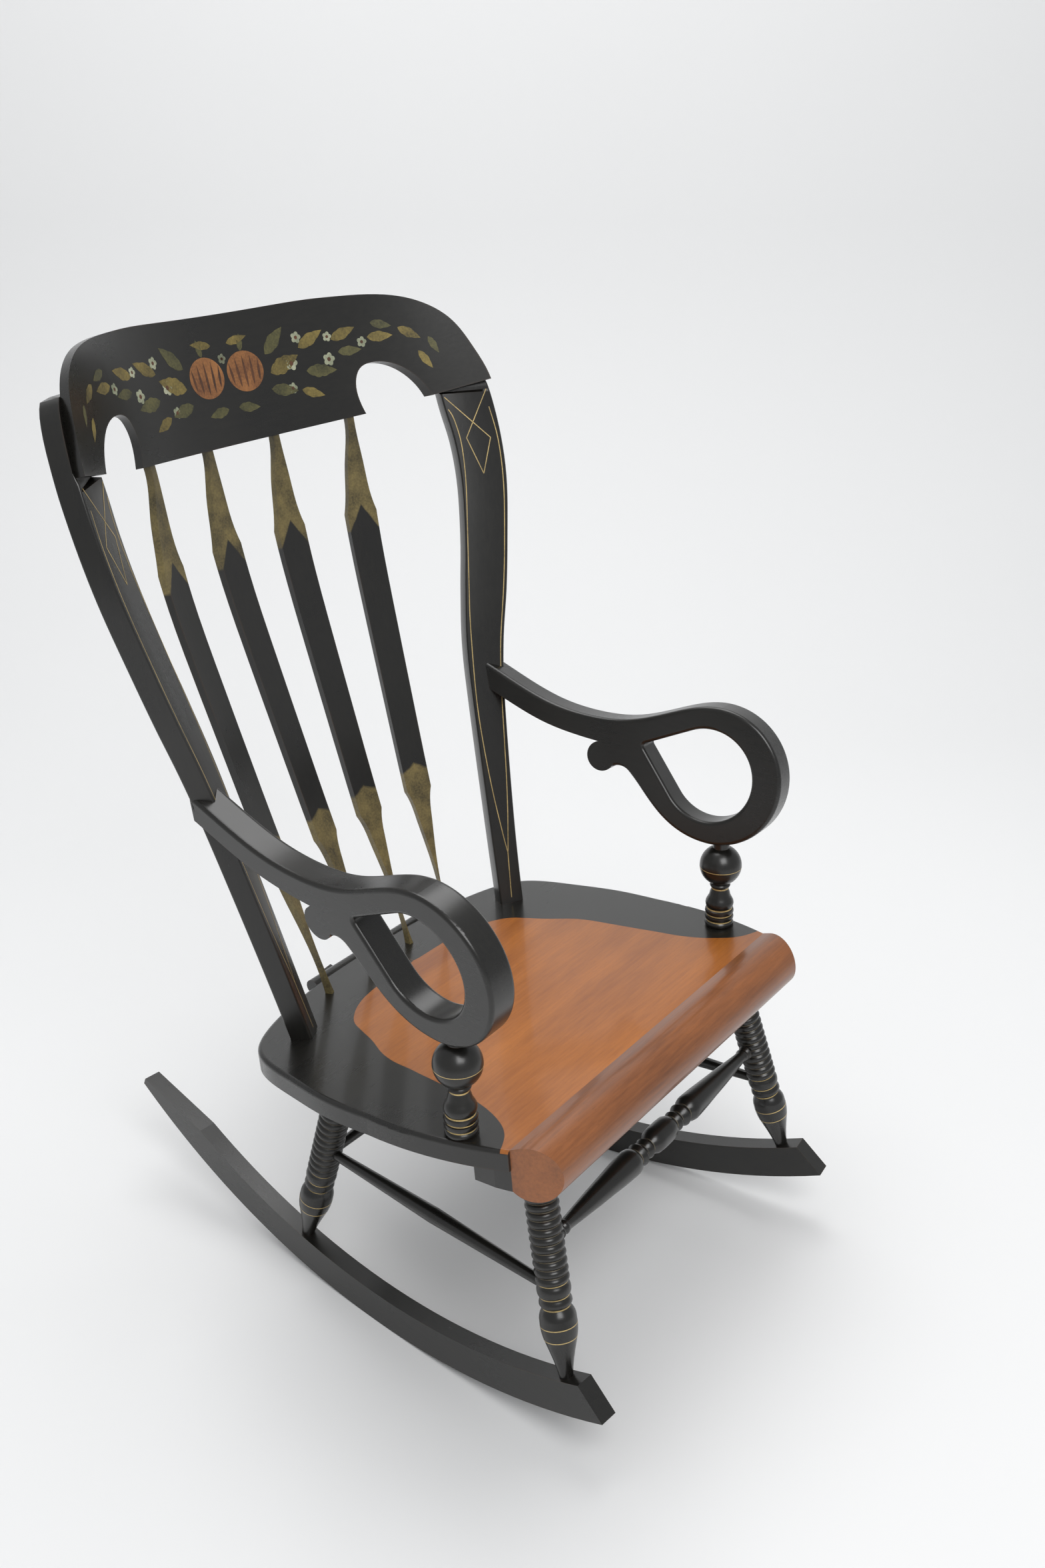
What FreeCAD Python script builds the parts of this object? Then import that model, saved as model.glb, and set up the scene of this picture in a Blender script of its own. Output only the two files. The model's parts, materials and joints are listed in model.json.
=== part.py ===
import FreeCAD, Part
import Sketcher
import math
import os

# Painted wooden rocking chair with a plank seat, a bent crest rail, four arrow
# slats, looped scroll arms, ring-turned legs and two curved rockers.
# Lengths are millimetres. The floor is z = 0, the sitter faces -Y and the
# sitter's left hand is at +X. The origin is on the floor in the centre plane,
# on the line that the rockers touch when the chair is at rest.

DEG = math.pi / 180.0
V = FreeCAD.Vector

doc = FreeCAD.newDocument("rocking_chair")
sheet = doc.addObject("Spreadsheet::Sheet", "sizes")

SIZES = [
    # seat plank: its top face passes seat_height above the origin and drops to the back
    ("seat_height", 356.8), ("seat_pitch_deg", 5.4), ("seat_thick", 24.0),
    ("seat_half_width", 289.5), ("seat_rear_y", 188.6), ("seat_joint_y", -230.0),
    ("seat_corner_in", 41.0), ("seat_front_in", 22.5), ("seat_edge_round", 5.0),
    # front roll and rear roll
    ("roll_radius", 31.5), ("roll_ahead", 21.0), ("roll_below", 26.0), ("roll_end_in", 19.0),
    ("roll_heel", 46.0),
    ("roll_end_round", 4.0), ("rear_roll_radius", 9.5), ("rear_roll_half", 104.0),
    # crest rail: rises from the seat's datum height, leans back, bent about an upright axis
    ("crest_rise", 600.7), ("crest_y", 348.0), ("crest_lean_deg", 15.0),
    ("crest_bend_radius", 478.0), ("crest_thick", 12.0), ("crest_height", 145.0),
    ("crest_overhang", 31.5), ("crest_shoulder_in", 146.0), ("crest_seam_rise", 8.0),
    ("scoop_height", 58.0), ("crest_edge_round", 2.0),
    # back posts: flat boards turned towards the sitter
    ("post_thick", 25.0), ("post_cant_deg", 33.0), ("post_lean_deg", 16.1),
    ("post_foot_in", 115.0), ("post_foot_y", 106.3), ("post_tenon", 20.0),
    ("post_length", 776.0), ("post_foot_width", 31.0), ("post_waist_width", 43.5),
    ("post_swell_width", 57.5), ("post_head_width", 66.0), ("post_hollow", 10.5),
    ("post_swell_out", 6.0), ("post_head_in", 24.0), ("post_edge_round", 2.0),
    # arrow slats
    ("slat_thick", 9.0), ("slat_neck", 11.5), ("slat_upper_width", 41.0),
    ("slat_lower_width", 35.0), ("slat_kink_low", 164.0), ("slat_kink_high", 500.0),
    ("slat_bow", 18.0), ("slat_tenon", 16.0), ("slat_inset", 1.6),
    ("outer_slat_foot_x", 110.8), ("outer_slat_foot_y", 148.0),
    ("outer_slat_head_x", 157.7), ("inner_slat_foot_x", 33.5),
    ("inner_slat_foot_y", 146.2), ("inner_slat_head_x", 52.8),
    # scroll arms: boards that lean and flare outwards
    ("arm_thick", 34.5), ("arm_in", 34.6), ("arm_y", -151.4), ("arm_rise", 213.2),
    ("arm_flare", 0.0902), ("arm_lean", 0.124), ("loop_radius", 86.0),
    ("loop_hole_radius", 58.0), ("loop_throat", 83.0), ("arm_length", 336.0),
    ("arm_tail_height", 30.0), ("arm_waist", 29.0), ("arm_edge_round", 4.5),
    # arm posts
    ("arm_post_in", 27.5), ("arm_post_y", -167.4), ("ball_dia", 52.0),
    ("ball_drop", 30.5), ("arm_post_base_dia", 34.0), ("arm_post_neck_dia", 24.0),
    ("arm_post_tenon", 10.0),
    # legs
    ("front_leg_in", 82.5), ("front_leg_y", -216.4), ("front_foot_y", -286.4),
    ("rear_leg_in", 103.5), ("rear_leg_y", 57.6), ("rear_foot_y", 127.6),
    ("leg_ring_dia", 37.0), ("leg_groove_depth", 2.6), ("leg_ring_pitch", 9.4),
    ("leg_bulge_dia", 40.0), ("leg_foot_dia", 15.0), ("leg_head_dia", 30.0),
    ("leg_tenon", 18.0), ("foot_tenon", 18.0),
    # stretchers
    ("front_stretcher_z", 243.0), ("cone_dia", 32.0), ("cone_tip_dia", 15.0),
    ("side_stretcher_z", 192.0), ("side_stretcher_dia", 19.0),
    ("rear_stretcher_z", 178.0), ("rear_stretcher_dia", 20.0),
    ("stretcher_end_dia", 12.0), ("stretcher_tenon", 12.0),
    # rockers: arcs about a centre straight above the rest line
    ("rocker_radius", 806.0), ("rocker_height", 42.0), ("rocker_thick", 22.0),
    ("rocker_in", 76.5), ("rocker_toe_deg", 5.83), ("rocker_front", 346.4),
    ("rocker_nose", 34.0), ("rocker_rear", 438.6), ("rocker_taper", 118.0),
    ("rocker_tip", 9.0), ("rocker_edge_round", 2.0),
    # hidden dowels
    ("dowel_dia", 8.0), ("dowel_length", 24.0),
]
for row, (alias, value) in enumerate(SIZES, start=1):
    sheet.set("A%d" % row, alias)
    sheet.set("B%d" % row, "%g" % value)
    sheet.setAlias("B%d" % row, alias)
doc.recompute()


def size(alias):
    """Return one driving dimension from the sheet."""
    return float(sheet.get(alias))


# helpers for pieces that are shaped with curves in space
def line(a, b):
    """Return a straight edge."""
    return Part.makeLine(a, b)


def arc(a, mid, b):
    """Return a circular edge through three points."""
    return Part.Arc(a, mid, b).toShape()


def spline(points, first=None, last=None):
    """Return a smooth edge through the points, with optional end directions."""
    curve = Part.BSplineCurve()
    if first is None or last is None:
        curve.interpolate(points)
    else:
        curve.interpolate(Points=points, InitialTangent=first, FinalTangent=last)
    return curve.toShape()


def prism(edges, push):
    """Return the solid of a closed outline pushed along a vector."""
    wire = Part.Wire(Part.__sortEdges__(edges))
    return Part.Face(wire).extrude(push)


def frame(origin, ax, ay, az):
    """Return the placement that takes local x, y, z to the given axes and origin."""
    m = FreeCAD.Matrix()
    m.A11, m.A21, m.A31 = ax.x, ax.y, ax.z
    m.A12, m.A22, m.A32 = ay.x, ay.y, ay.z
    m.A13, m.A23, m.A33 = az.x, az.y, az.z
    m.A14, m.A24, m.A34 = origin.x, origin.y, origin.z
    return FreeCAD.Placement(m)


def piece(label, shape, place=None):
    """Put a shape into the document as one piece with its own placement."""
    obj = doc.addObject("Part::Feature", label)
    obj.Label = label
    obj.Shape = shape
    if place is not None:
        obj.Placement = place
    return obj


def turned(label, stations, start, end):
    """Return a turned piece from (distance, radius) stations along start to end."""
    axis = end.sub(start)
    axis.normalize()
    points = [V(0, 0, stations[0][0])]
    for along, radius in stations:
        points.append(V(radius, 0, along))
    points.append(V(0, 0, stations[-1][0]))
    outline = Part.makePolygon(points + [points[0]])
    solid = Part.Face(outline).revolve(V(0, 0, 0), V(0, 0, 1), 360)
    place = FreeCAD.Placement(start, FreeCAD.Rotation(V(0, 0, 1), axis))
    return piece(label, solid, place)


def rounded(shape, radius, wanted):
    """Round the edges of a shape that the test picks."""
    edges = [e for e in shape.Edges if wanted(e)]
    return shape.makeFillet(radius, edges)


# helpers for joinery
def mirrored(label, source):
    """Add the other hand of a piece, across the centre plane."""
    twin = doc.addObject("Part::Mirroring", label)
    twin.Label = label
    twin.Source = source
    twin.Base = V(0, 0, 0)
    twin.Normal = V(1, 0, 0)
    return twin


def cut(label, base, tools):
    """Cut sockets and mortises into a piece with the pieces that enter it."""
    if len(tools) == 1:
        tool = tools[0]
    else:
        tool = doc.addObject("Part::MultiFuse", label + "_tools")
        tool.Shapes = tools
    joint = doc.addObject("Part::Cut", label)
    joint.Label = label
    joint.Base = base
    joint.Tool = tool
    return joint


def rod(label, radius, height, place):
    """Add a round rod whose sizes are bound to the sheet."""
    body = doc.addObject("Part::Cylinder", label)
    body.Label = label
    body.setExpression("Radius", radius)
    body.setExpression("Height", height)
    body.Placement = place
    return body


def sketched(label, role):
    """Add a body with an empty sketch on one of its origin planes."""
    body = doc.addObject("PartDesign::Body", label)
    body.Label = label
    sketch = body.newObject("Sketcher::SketchObject", label + "_outline")
    plane = [f for f in body.Origin.OriginFeatures if f.Role == role][0]
    sketch.AttachmentSupport = [(plane, "")]
    sketch.MapMode = "FlatFace"
    return body, sketch


def bind(sketch, name, kind, places, value, expression):
    """Add one dimension to a sketch and tie it to the sheet."""
    index = sketch.addConstraint(Sketcher.Constraint(kind, *places, value))
    sketch.renameConstraint(index, name)
    sketch.setExpression("Constraints." + name, expression)


def pad(body, sketch, length):
    """Pad a sketch to a length from the sheet."""
    feature = body.newObject("PartDesign::Pad", body.Label + "_pad")
    feature.Profile = sketch
    feature.setExpression("Length", length)
    doc.recompute()
    return feature


# seat plank, in its own frame: local z = 0 is the top face
pitch = size("seat_pitch_deg") * DEG
seat_up = V(0, math.sin(pitch), math.cos(pitch))
seat_place = frame(V(0, 0, size("seat_height")), V(1, 0, 0),
                   V(0, math.cos(pitch), -math.sin(pitch)), seat_up)
half = size("seat_half_width")
rear_y = size("seat_rear_y")
joint_y = size("seat_joint_y")
thick = size("seat_thick")
corner = size("seat_corner_in")


def seat_z(y):
    """Return the height of the seat's top face at a front-to-back position."""
    return size("seat_height") - y * math.tan(pitch)


reach = rear_y - joint_y
front_corner = V(half - size("seat_front_in"), joint_y, 0)
widest = V(half, joint_y + 0.40 * reach, 0)
hip = V(half - 0.34 * corner, joint_y + 0.71 * reach, 0)
turn = V(half - corner, joint_y + 0.88 * reach, 0)
shoulder = V(half - 1.75 * corner, joint_y + 0.927 * reach, 0)
middle = V(0, rear_y, 0)
quarter = V(0.43 * half, joint_y + 0.982 * reach, 0)
left_edges = [
    arc(front_corner, widest.add(V(-1.5, -0.17 * reach, 0)), widest),
    spline([widest, V(half - 0.035 * corner, joint_y + 0.54 * reach, 0), hip, turn,
            shoulder, quarter, middle], V(0, 1, 0), V(-1, 0, 0)),
]
seat_edges = [line(V(-front_corner.x, joint_y, 0), front_corner)]
for edge in left_edges:
    seat_edges.append(edge)
    seat_edges.append(edge.mirror(V(0, 0, 0), V(1, 0, 0)))
plank_shape = prism(seat_edges, V(0, 0, -thick))
plank_shape = rounded(plank_shape, size("seat_edge_round"),
                      lambda e: abs(e.CenterOfMass.y - joint_y) > 1.0
                      and abs(e.CenterOfMass.z) < 0.01)
plank = piece("seat_blank", plank_shape, seat_place)

# front roll: a round nosing that meets the plank in an upright joint
roll_r = size("roll_radius")
roll_half = front_corner.x
centre_y = joint_y - size("roll_ahead")
centre_z = -size("roll_below")
low_z = centre_z - math.sqrt(roll_r ** 2 - size("roll_ahead") ** 2)
under = size("seat_thick")
heel_y = joint_y + size("roll_heel")
# the slope from the joint's top edge runs tangent on to the round
gap = math.hypot(size("roll_ahead"), size("roll_below"))
tangent = math.atan2(-centre_z, size("roll_ahead")) + math.acos(roll_r / gap)
rise_y = centre_y + roll_r * math.cos(tangent)
rise_z = centre_z + roll_r * math.sin(tangent)
roll, section = sketched("front_roll_blank", "YZ_Plane")
start_angle = math.atan2(rise_z - centre_z, rise_y - centre_y)
end_angle = math.atan2(low_z - centre_z, joint_y - centre_y)
section.addGeometry(Part.ArcOfCircle(
    Part.Circle(V(centre_y, centre_z, 0), V(0, 0, 1), roll_r),
    start_angle, end_angle + 2.0 * math.pi))
section.addGeometry(Part.LineSegment(V(joint_y, -under, 0), V(joint_y, 0, 0)))
section.addGeometry(Part.LineSegment(V(joint_y, 0, 0), V(rise_y, rise_z, 0)))
# the heel: a step that carries the plank's front edge from below
section.addGeometry(Part.LineSegment(V(joint_y, low_z, 0), V(heel_y, low_z, 0)))
section.addGeometry(Part.LineSegment(V(heel_y, low_z, 0), V(heel_y, -under, 0)))
section.addGeometry(Part.LineSegment(V(heel_y, -under, 0), V(joint_y, -under, 0)))
section.addConstraint(Sketcher.Constraint("Coincident", 0, 2, 3, 1))
section.addConstraint(Sketcher.Constraint("Coincident", 3, 2, 4, 1))
section.addConstraint(Sketcher.Constraint("Coincident", 4, 2, 5, 1))
section.addConstraint(Sketcher.Constraint("Coincident", 5, 2, 1, 1))
section.addConstraint(Sketcher.Constraint("Coincident", 1, 2, 2, 1))
section.addConstraint(Sketcher.Constraint("Tangent", 2, 2, 0, 1))
section.addConstraint(Sketcher.Constraint("Vertical", 1))
section.addConstraint(Sketcher.Constraint("Horizontal", 3))
section.addConstraint(Sketcher.Constraint("Vertical", 4))
section.addConstraint(Sketcher.Constraint("Horizontal", 5))
section.addConstraint(Sketcher.Constraint("PointOnObject", 0, 2, 1))
section.addConstraint(Sketcher.Constraint("PointOnObject", 1, 2, -1))
bind(section, "joint", "DistanceX", (1, 2, -1, 1), -joint_y, "-sizes.seat_joint_y")
bind(section, "heel", "DistanceX", (5, 2, 5, 1), heel_y - joint_y, "sizes.roll_heel")
bind(section, "step", "DistanceY", (1, 1, 1, 2), under, "sizes.seat_thick")
bind(section, "ahead", "DistanceX", (0, 3, 1, 2), size("roll_ahead"), "sizes.roll_ahead")
bind(section, "below", "DistanceY", (0, 3, 1, 2), size("roll_below"), "sizes.roll_below")
bind(section, "round", "Radius", (0,), roll_r, "sizes.roll_radius")
pad(roll, section, "2 * (sizes.seat_half_width - sizes.seat_front_in)")
roll.Placement = seat_place.multiply(FreeCAD.Placement(V(-roll_half, 0, 0),
                                                       FreeCAD.Rotation()))

# its ends carry on the curve of the seat's sides and draw in towards the front
roll_front = centre_y - roll_r - 2.0
draw_in = size("roll_end_in")
end_front = V(front_corner.x - draw_in - 2.0, roll_front, 40)
end_joint = V(front_corner.x, joint_y + 20.0, 40)
end_mid = V(front_corner.x - 0.30 * draw_in, centre_y + 0.30 * roll_r, 40)
end_arc = arc(end_front, end_mid, end_joint)
plan = [end_arc, end_arc.mirror(V(0, 0, 0), V(1, 0, 0)),
        line(V(-end_front.x, roll_front, 40), end_front),
        line(end_joint, V(end_joint.x, heel_y + 5.0, 40)),
        line(V(end_joint.x, heel_y + 5.0, 40), V(-end_joint.x, heel_y + 5.0, 40)),
        line(V(-end_joint.x, heel_y + 5.0, 40), V(-end_joint.x, end_joint.y, 40))]
roll_plan = piece("front_roll_plan", prism(plan, V(0, 0, -120)), seat_place)
roll_ends = doc.addObject("Part::Common", "front_roll_sawn")
roll_ends.Base = roll
roll_ends.Tool = roll_plan

# rear roll: a slim round strip behind the middle of the back edge
rear_round = rod("rear_roll_rod", "sizes.rear_roll_radius", "2 * sizes.rear_roll_half",
                 seat_place.multiply(FreeCAD.Placement(
                     V(-size("rear_roll_half"), rear_y + 2.0, 2.5 - size("rear_roll_radius")),
                     FreeCAD.Rotation(V(0, 1, 0), 90))))

# crest rail
lean = size("crest_lean_deg") * DEG
crest_z = size("seat_height") + size("crest_rise")
crest_place = frame(V(0, size("crest_y"), crest_z), V(1, 0, 0),
                    V(0, math.cos(lean), -math.sin(lean)),
                    V(0, math.sin(lean), math.cos(lean)))
bend = size("crest_bend_radius")
crest_thick = size("crest_thick")
tall = size("crest_height")
end = half + size("crest_overhang")
foot = end - size("crest_shoulder_in")
seam = size("crest_seam_rise")
scoop = size("scoop_height")
scoop_line = spline([
    V(foot + 3.0, 0, 0), V(foot - 1.5, 0, 0.35 * scoop), V(foot, 0, 0.70 * scoop),
    V(foot + 9.0, 0, 0.94 * scoop), V(foot + 26.0, 0, scoop),
    V(foot + 47.0, 0, 0.90 * scoop), V(foot + 67.0, 0, 0.62 * scoop),
    V(foot + 84.0, 0, 0.5 * seam)])
top_line = spline([
    V(end, 0, seam), V(end - 11.0, 0, 0.36 * tall), V(end - 28.0, 0, 0.63 * tall),
    V(end - 53.0, 0, 0.80 * tall), V(end - 83.0, 0, 0.90 * tall),
    V(end - 146.0, 0, 0.975 * tall), V(0, 0, tall)], V(-0.12, 0, 1), V(-1, 0, 0))
crest_edges = [line(V(0, 0, 0), V(foot + 3.0, 0, 0)), scoop_line,
               line(V(foot + 84.0, 0, 0.5 * seam), V(end, 0, seam)), top_line]
for edge in list(crest_edges):
    crest_edges.append(edge.mirror(V(0, 0, 0), V(1, 0, 0)))
card = prism(crest_edges, V(0, 300, 0))
card.translate(V(0, -250, 0))
bend_axis = V(0, -bend, -100)
shell = Part.makeCylinder(bend + crest_thick, 400, bend_axis, V(0, 0, 1)).cut(
    Part.makeCylinder(bend, 400, bend_axis, V(0, 0, 1)))
crest_blank = piece("crest_blank", card.common(shell), crest_place)

# back posts: the outline is drawn on the board's front face
cant = size("post_cant_deg") * DEG
post_lean = size("post_lean_deg") * DEG
across = V(math.cos(cant), -math.sin(cant), 0)
behind = V(math.sin(cant), math.cos(cant), 0)
post_up = V(behind.x * math.sin(post_lean), behind.y * math.sin(post_lean),
            math.cos(post_lean))
post_back = V(behind.x * math.cos(post_lean), behind.y * math.cos(post_lean),
              -math.sin(post_lean))
post_x = half - size("post_foot_in")
post_y = size("post_foot_y")
post_z = seat_z(post_y) - size("post_tenon")
post_place = frame(V(post_x, post_y, post_z), across, post_back, post_up)
length = size("post_length")
hollow = size("post_hollow")
swell = size("post_swell_out")
head_in = size("post_head_in")
foot_w = size("post_foot_width")
waist_w = size("post_waist_width")
swell_w = size("post_swell_width")
head_w = size("post_head_width")
# (share of the length, inner edge, width) from the foot to the top
post_stations = [
    (0.0, 0.0, foot_w), (0.16, -0.43 * hollow, foot_w + 3.5),
    (0.37, -0.90 * hollow, waist_w), (0.47, -0.96 * hollow, 0.5 * (waist_w + swell_w)),
    (0.56, -0.43 * hollow, swell_w - 1.0), (0.64, 0.40 * swell, swell_w),
    (0.73, swell, swell_w + 3.0), (0.80, 0.35 * swell, swell_w + 5.5),
    (0.87, -0.38 * head_in, head_w), (1.0, -head_in, head_w),
]
inner = [V(c, 0, share * length) for share, c, width in post_stations]
outer = [V(c + width, 0, share * length) for share, c, width in post_stations[:-1]]
outer.append(V(head_w - 0.85 * head_in, 0, 0.965 * length))
crown = V(outer[-1].x - 17.0, 0, length)
shoulder_mid = V(outer[-1].x - 4.5, 0, 0.99 * length)
post_edges = [spline(inner), spline(outer), line(inner[0], outer[0]),
              arc(outer[-1], shoulder_mid, crown), line(crown, inner[-1])]
post_shape = prism(post_edges, V(0, size("post_thick"), 0))
post_shape = rounded(post_shape, size("post_edge_round"),
                     lambda e: e.Length > 0.5 * length and e.CenterOfMass.y < 1.0)
post_blank = piece("post_blank", post_shape, post_place)

# arrow slats: a bowed strip trimmed to the arrow outline
kink_low = size("slat_kink_low")
kink_high = size("slat_kink_high")
slat_thick = size("slat_thick")
neck = size("slat_neck") / 2.0
upper = size("slat_upper_width") / 2.0
lower = size("slat_lower_width") / 2.0
tenon = size("slat_tenon")
crest_rise = size("crest_rise")


def slat(label, foot_x, foot_y, head_x):
    """Return one slat between the seat's top face and the crest's lower edge."""
    side = math.sqrt(bend * bend - head_x * head_x) - bend
    base = V(foot_x, foot_y, seat_z(foot_y))
    top = V(head_x, size("crest_y") + side / math.cos(lean) + size("slat_inset"), crest_z)
    turn_to = math.asin(head_x / bend)
    out = V(math.cos(turn_to), -math.sin(turn_to), 0)
    up = top.sub(base)
    span = up.Length
    up.normalize()
    back_way = up.cross(out)
    back_way.normalize()
    out = back_way.cross(up)
    # the strip bows backwards, most of all a little above its middle
    strip_front = [V(0, 0, -tenon)]
    for share, bow in ((0.0, 0.0), (0.13, 0.24), (0.27, 0.55), (0.46, 0.81), (0.64, 1.0),
                       (0.83, 0.95), (0.93, 0.47), (1.0, 0.0)):
        strip_front.append(V(0, bow * size("slat_bow"), share * span))
    strip_front.append(V(0, -0.03 * tenon, span + tenon))
    strip_back = [p.add(V(0, slat_thick, 0)) for p in strip_front]
    strip = prism([spline(strip_front), spline(strip_back),
                   line(strip_front[0], strip_back[0]),
                   line(strip_front[-1], strip_back[-1])], V(2 * upper + 20, 0, 0))
    strip.translate(V(-upper - 10, 0, 0))
    low = kink_low * span / crest_rise
    high = kink_high * span / crest_rise
    widths = [(-tenon, neck), (low - 62.0, neck + 0.4), (low - 42.0, neck + 3.0),
              (low - 20.0, lower - 6.0), (low, lower), (high, upper),
              (high + 27.0, upper - 6.0), (high + 60.0, neck + 5.0),
              (high + 92.0, neck), (span + tenon, neck - 0.5)]
    edges = []
    for sign in (-1.0, 1.0):
        rim = [V(sign * w, 0, z) for z, w in widths]
        edges += [spline(rim[0:5]), line(rim[4], rim[5]), spline(rim[5:10])]
    edges.append(line(V(-neck, 0, -tenon), V(neck, 0, -tenon)))
    edges.append(line(V(0.5 - neck, 0, span + tenon), V(neck - 0.5, 0, span + tenon)))
    trim = prism(edges, V(0, 80, 0))
    trim.translate(V(0, -40, 0))
    return piece(label, strip.common(trim), frame(base, out, back_way, up))


outer_slat = slat("left_outer_slat", size("outer_slat_foot_x"), size("outer_slat_foot_y"),
                  size("outer_slat_head_x"))
inner_slat = slat("left_inner_slat", size("inner_slat_foot_x"), size("inner_slat_foot_y"),
                  size("inner_slat_head_x"))

# scroll arms: local x is outwards, y forwards and z up along the board
flare = size("arm_flare")
arm_lean = size("arm_lean")
outward = V(1, flare, -arm_lean)
outward.normalize()
forward = V(flare, -1, 0)
forward.normalize()
over = forward.cross(outward)
arm_at = V(half - size("arm_in"), size("arm_y"), size("seat_height") + size("arm_rise"))
arm_place = frame(arm_at, V(outward).multiply(-1.0), forward, over)
big = size("loop_radius")
hole = size("loop_hole_radius")
tail = size("arm_length")
tail_h = size("arm_tail_height")
waist = size("arm_waist")
hub = V(0, 0, 2)
loop_top = hub.add(V(0, 0, big + 1.0))
loop_front = hub.add(V(0, big, 0))
loop_bottom = hub.add(V(0, 0, -big))
waist_at = 2.0 * big
arm_edges = [
    arc(loop_top, loop_front, loop_bottom),
    # the returning strand, and the small curl that ends it under the arm
    spline([loop_bottom, V(0, -36, -78), V(0, -65, -62.5), V(0, -96, -33.5),
            V(0, -114, -16)], V(0, -1, 0), V(0, -0.75, 0.66)),
    arc(V(0, -114, -16), V(0, -126.5, -11), V(0, -139, -15.5)),
    arc(V(0, -139, -15.5), V(0, -161.5, -21), V(0, -159, 15)),
    # underside and top of the arm back to its tail
    spline([V(0, -159, 15), V(0, 2.0 - waist_at - 20, 46.0 - waist), V(0, -238, 24),
            V(0, -294, 41.5), V(0, -tail, 87.0 - tail_h)]),
    line(V(0, -tail, 87.0 - tail_h), V(0, -tail, 87)),
    spline([V(0, -tail, 87), V(0, -288, 69), V(0, -227, 50.5), V(0, -waist_at, 45.5),
            V(0, -122, 50.5), V(0, -69, 69.5), V(0, -30, 84.5), loop_top],
           V(0, 1, -0.35), V(0, 1, 0)),
]
board = V(-size("arm_thick"), 0, 0)
arm_shape = prism(arm_edges, board)
# teardrop opening: a circle drawn out to a small rounded throat at the back
hole_at = hub.add(V(0, -9, 0))
apex = hole_at.add(V(0, -size("loop_throat"), 19))
small = 5.0
to_apex = apex.sub(hole_at)
swing = math.acos((hole - small) / to_apex.Length)
heading = math.atan2(to_apex.z, to_apex.y)


def rim(at, radius, angle):
    """Return a point of the opening's rim in the arm's own plane."""
    return at.add(V(0, radius * math.cos(angle), radius * math.sin(angle)))


hole_edges = [
    arc(rim(hole_at, hole, heading + swing), rim(hole_at, hole, heading + math.pi),
        rim(hole_at, hole, heading - swing)),
    line(rim(hole_at, hole, heading - swing), rim(apex, small, heading - swing)),
    arc(rim(apex, small, heading - swing), rim(apex, small, heading),
        rim(apex, small, heading + swing)),
    line(rim(apex, small, heading + swing), rim(hole_at, hole, heading + swing)),
]
arm_shape = arm_shape.cut(prism(hole_edges, board))
arm_shape = rounded(arm_shape, size("arm_edge_round"),
                    lambda e: e.Length > 1.2 * big and abs(e.CenterOfMass.x + 0.5 *
                    size("arm_thick")) > 1.0 and (e.CenterOfMass.z > 0.5 * big
                    or e.CenterOfMass.y > -2.0 * big))
arm_blank = piece("arm_blank", arm_shape, arm_place)

# arm posts: turned, from the seat to the underside of the loop
post_from = V(half - size("arm_post_in"), size("arm_post_y"), seat_z(size("arm_post_y")))
seat_on = loop_bottom.add(V(-size("arm_thick") / 2.0, 13.0, 1.0))
post_to = arm_place.multVec(seat_on)
post_way = post_to.sub(post_from)
rise = post_way.Length
post_way.normalize()
base_r = size("arm_post_base_dia") / 2.0
neck_r = size("arm_post_neck_dia") / 2.0
ball_r = size("ball_dia") / 2.0
ball_at = rise - size("ball_drop")
dip = size("arm_post_tenon")
arm_post_rows = [(-14.0, 9.0), (0.0, 9.0), (0.0, base_r), (4.0, base_r + 0.8),
                 (8.0, base_r - 1.2), (12.5, base_r + 1.0), (16.0, base_r - 1.2),
                 (20.5, base_r + 1.0), (24.0, base_r - 1.4), (31.0, base_r + 0.6),
                 (41.0, base_r - 3.5), (49.0, neck_r - 1.0), (52.0, neck_r - 1.6),
                 (56.0, neck_r + 0.8), (ball_at - 0.90 * ball_r, neck_r - 1.2),
                 (ball_at - 0.62 * ball_r, 0.785 * ball_r),
                 (ball_at - 0.26 * ball_r, 0.966 * ball_r),
                 (ball_at + 0.26 * ball_r, 0.966 * ball_r),
                 (ball_at + 0.62 * ball_r, 0.785 * ball_r),
                 (ball_at + 0.92 * ball_r, neck_r - 2.0), (rise + dip, neck_r - 2.0)]
arm_post = turned("left_arm_post", arm_post_rows, post_from, post_to)

# rockers: a sketched board, padded across its thickness
arc_r = size("rocker_radius")
deep = size("rocker_height")
top_r = arc_r - deep


def arc_z(radius, y):
    """Return the height of an arc about the rockers' centre at a position."""
    return arc_r - math.sqrt(radius * radius - y * y)


nose = size("rocker_front")
rear = size("rocker_rear")
nose_top = nose - size("rocker_nose")
tail_top = rear - size("rocker_taper")
tip = size("rocker_tip")
p_nose = V(-nose, arc_z(arc_r, nose), 0)
p_rear = V(rear, arc_z(arc_r, rear), 0)
p_nose_top = V(-nose_top, arc_z(top_r, nose_top), 0)
p_tail_top = V(tail_top, arc_z(top_r, tail_top), 0)
p_tip = V(rear - 4.0, p_rear.y + tip, 0)
rocker, outline = sketched("rocker_blank", "YZ_Plane")


def ring(radius, a, b):
    """Return the arc about the rockers' centre from a to b."""
    circle = Part.Circle(V(0, arc_r, 0), V(0, 0, 1), radius)
    return Part.ArcOfCircle(circle, math.atan2(a.y - arc_r, a.x),
                            math.atan2(b.y - arc_r, b.x))


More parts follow.
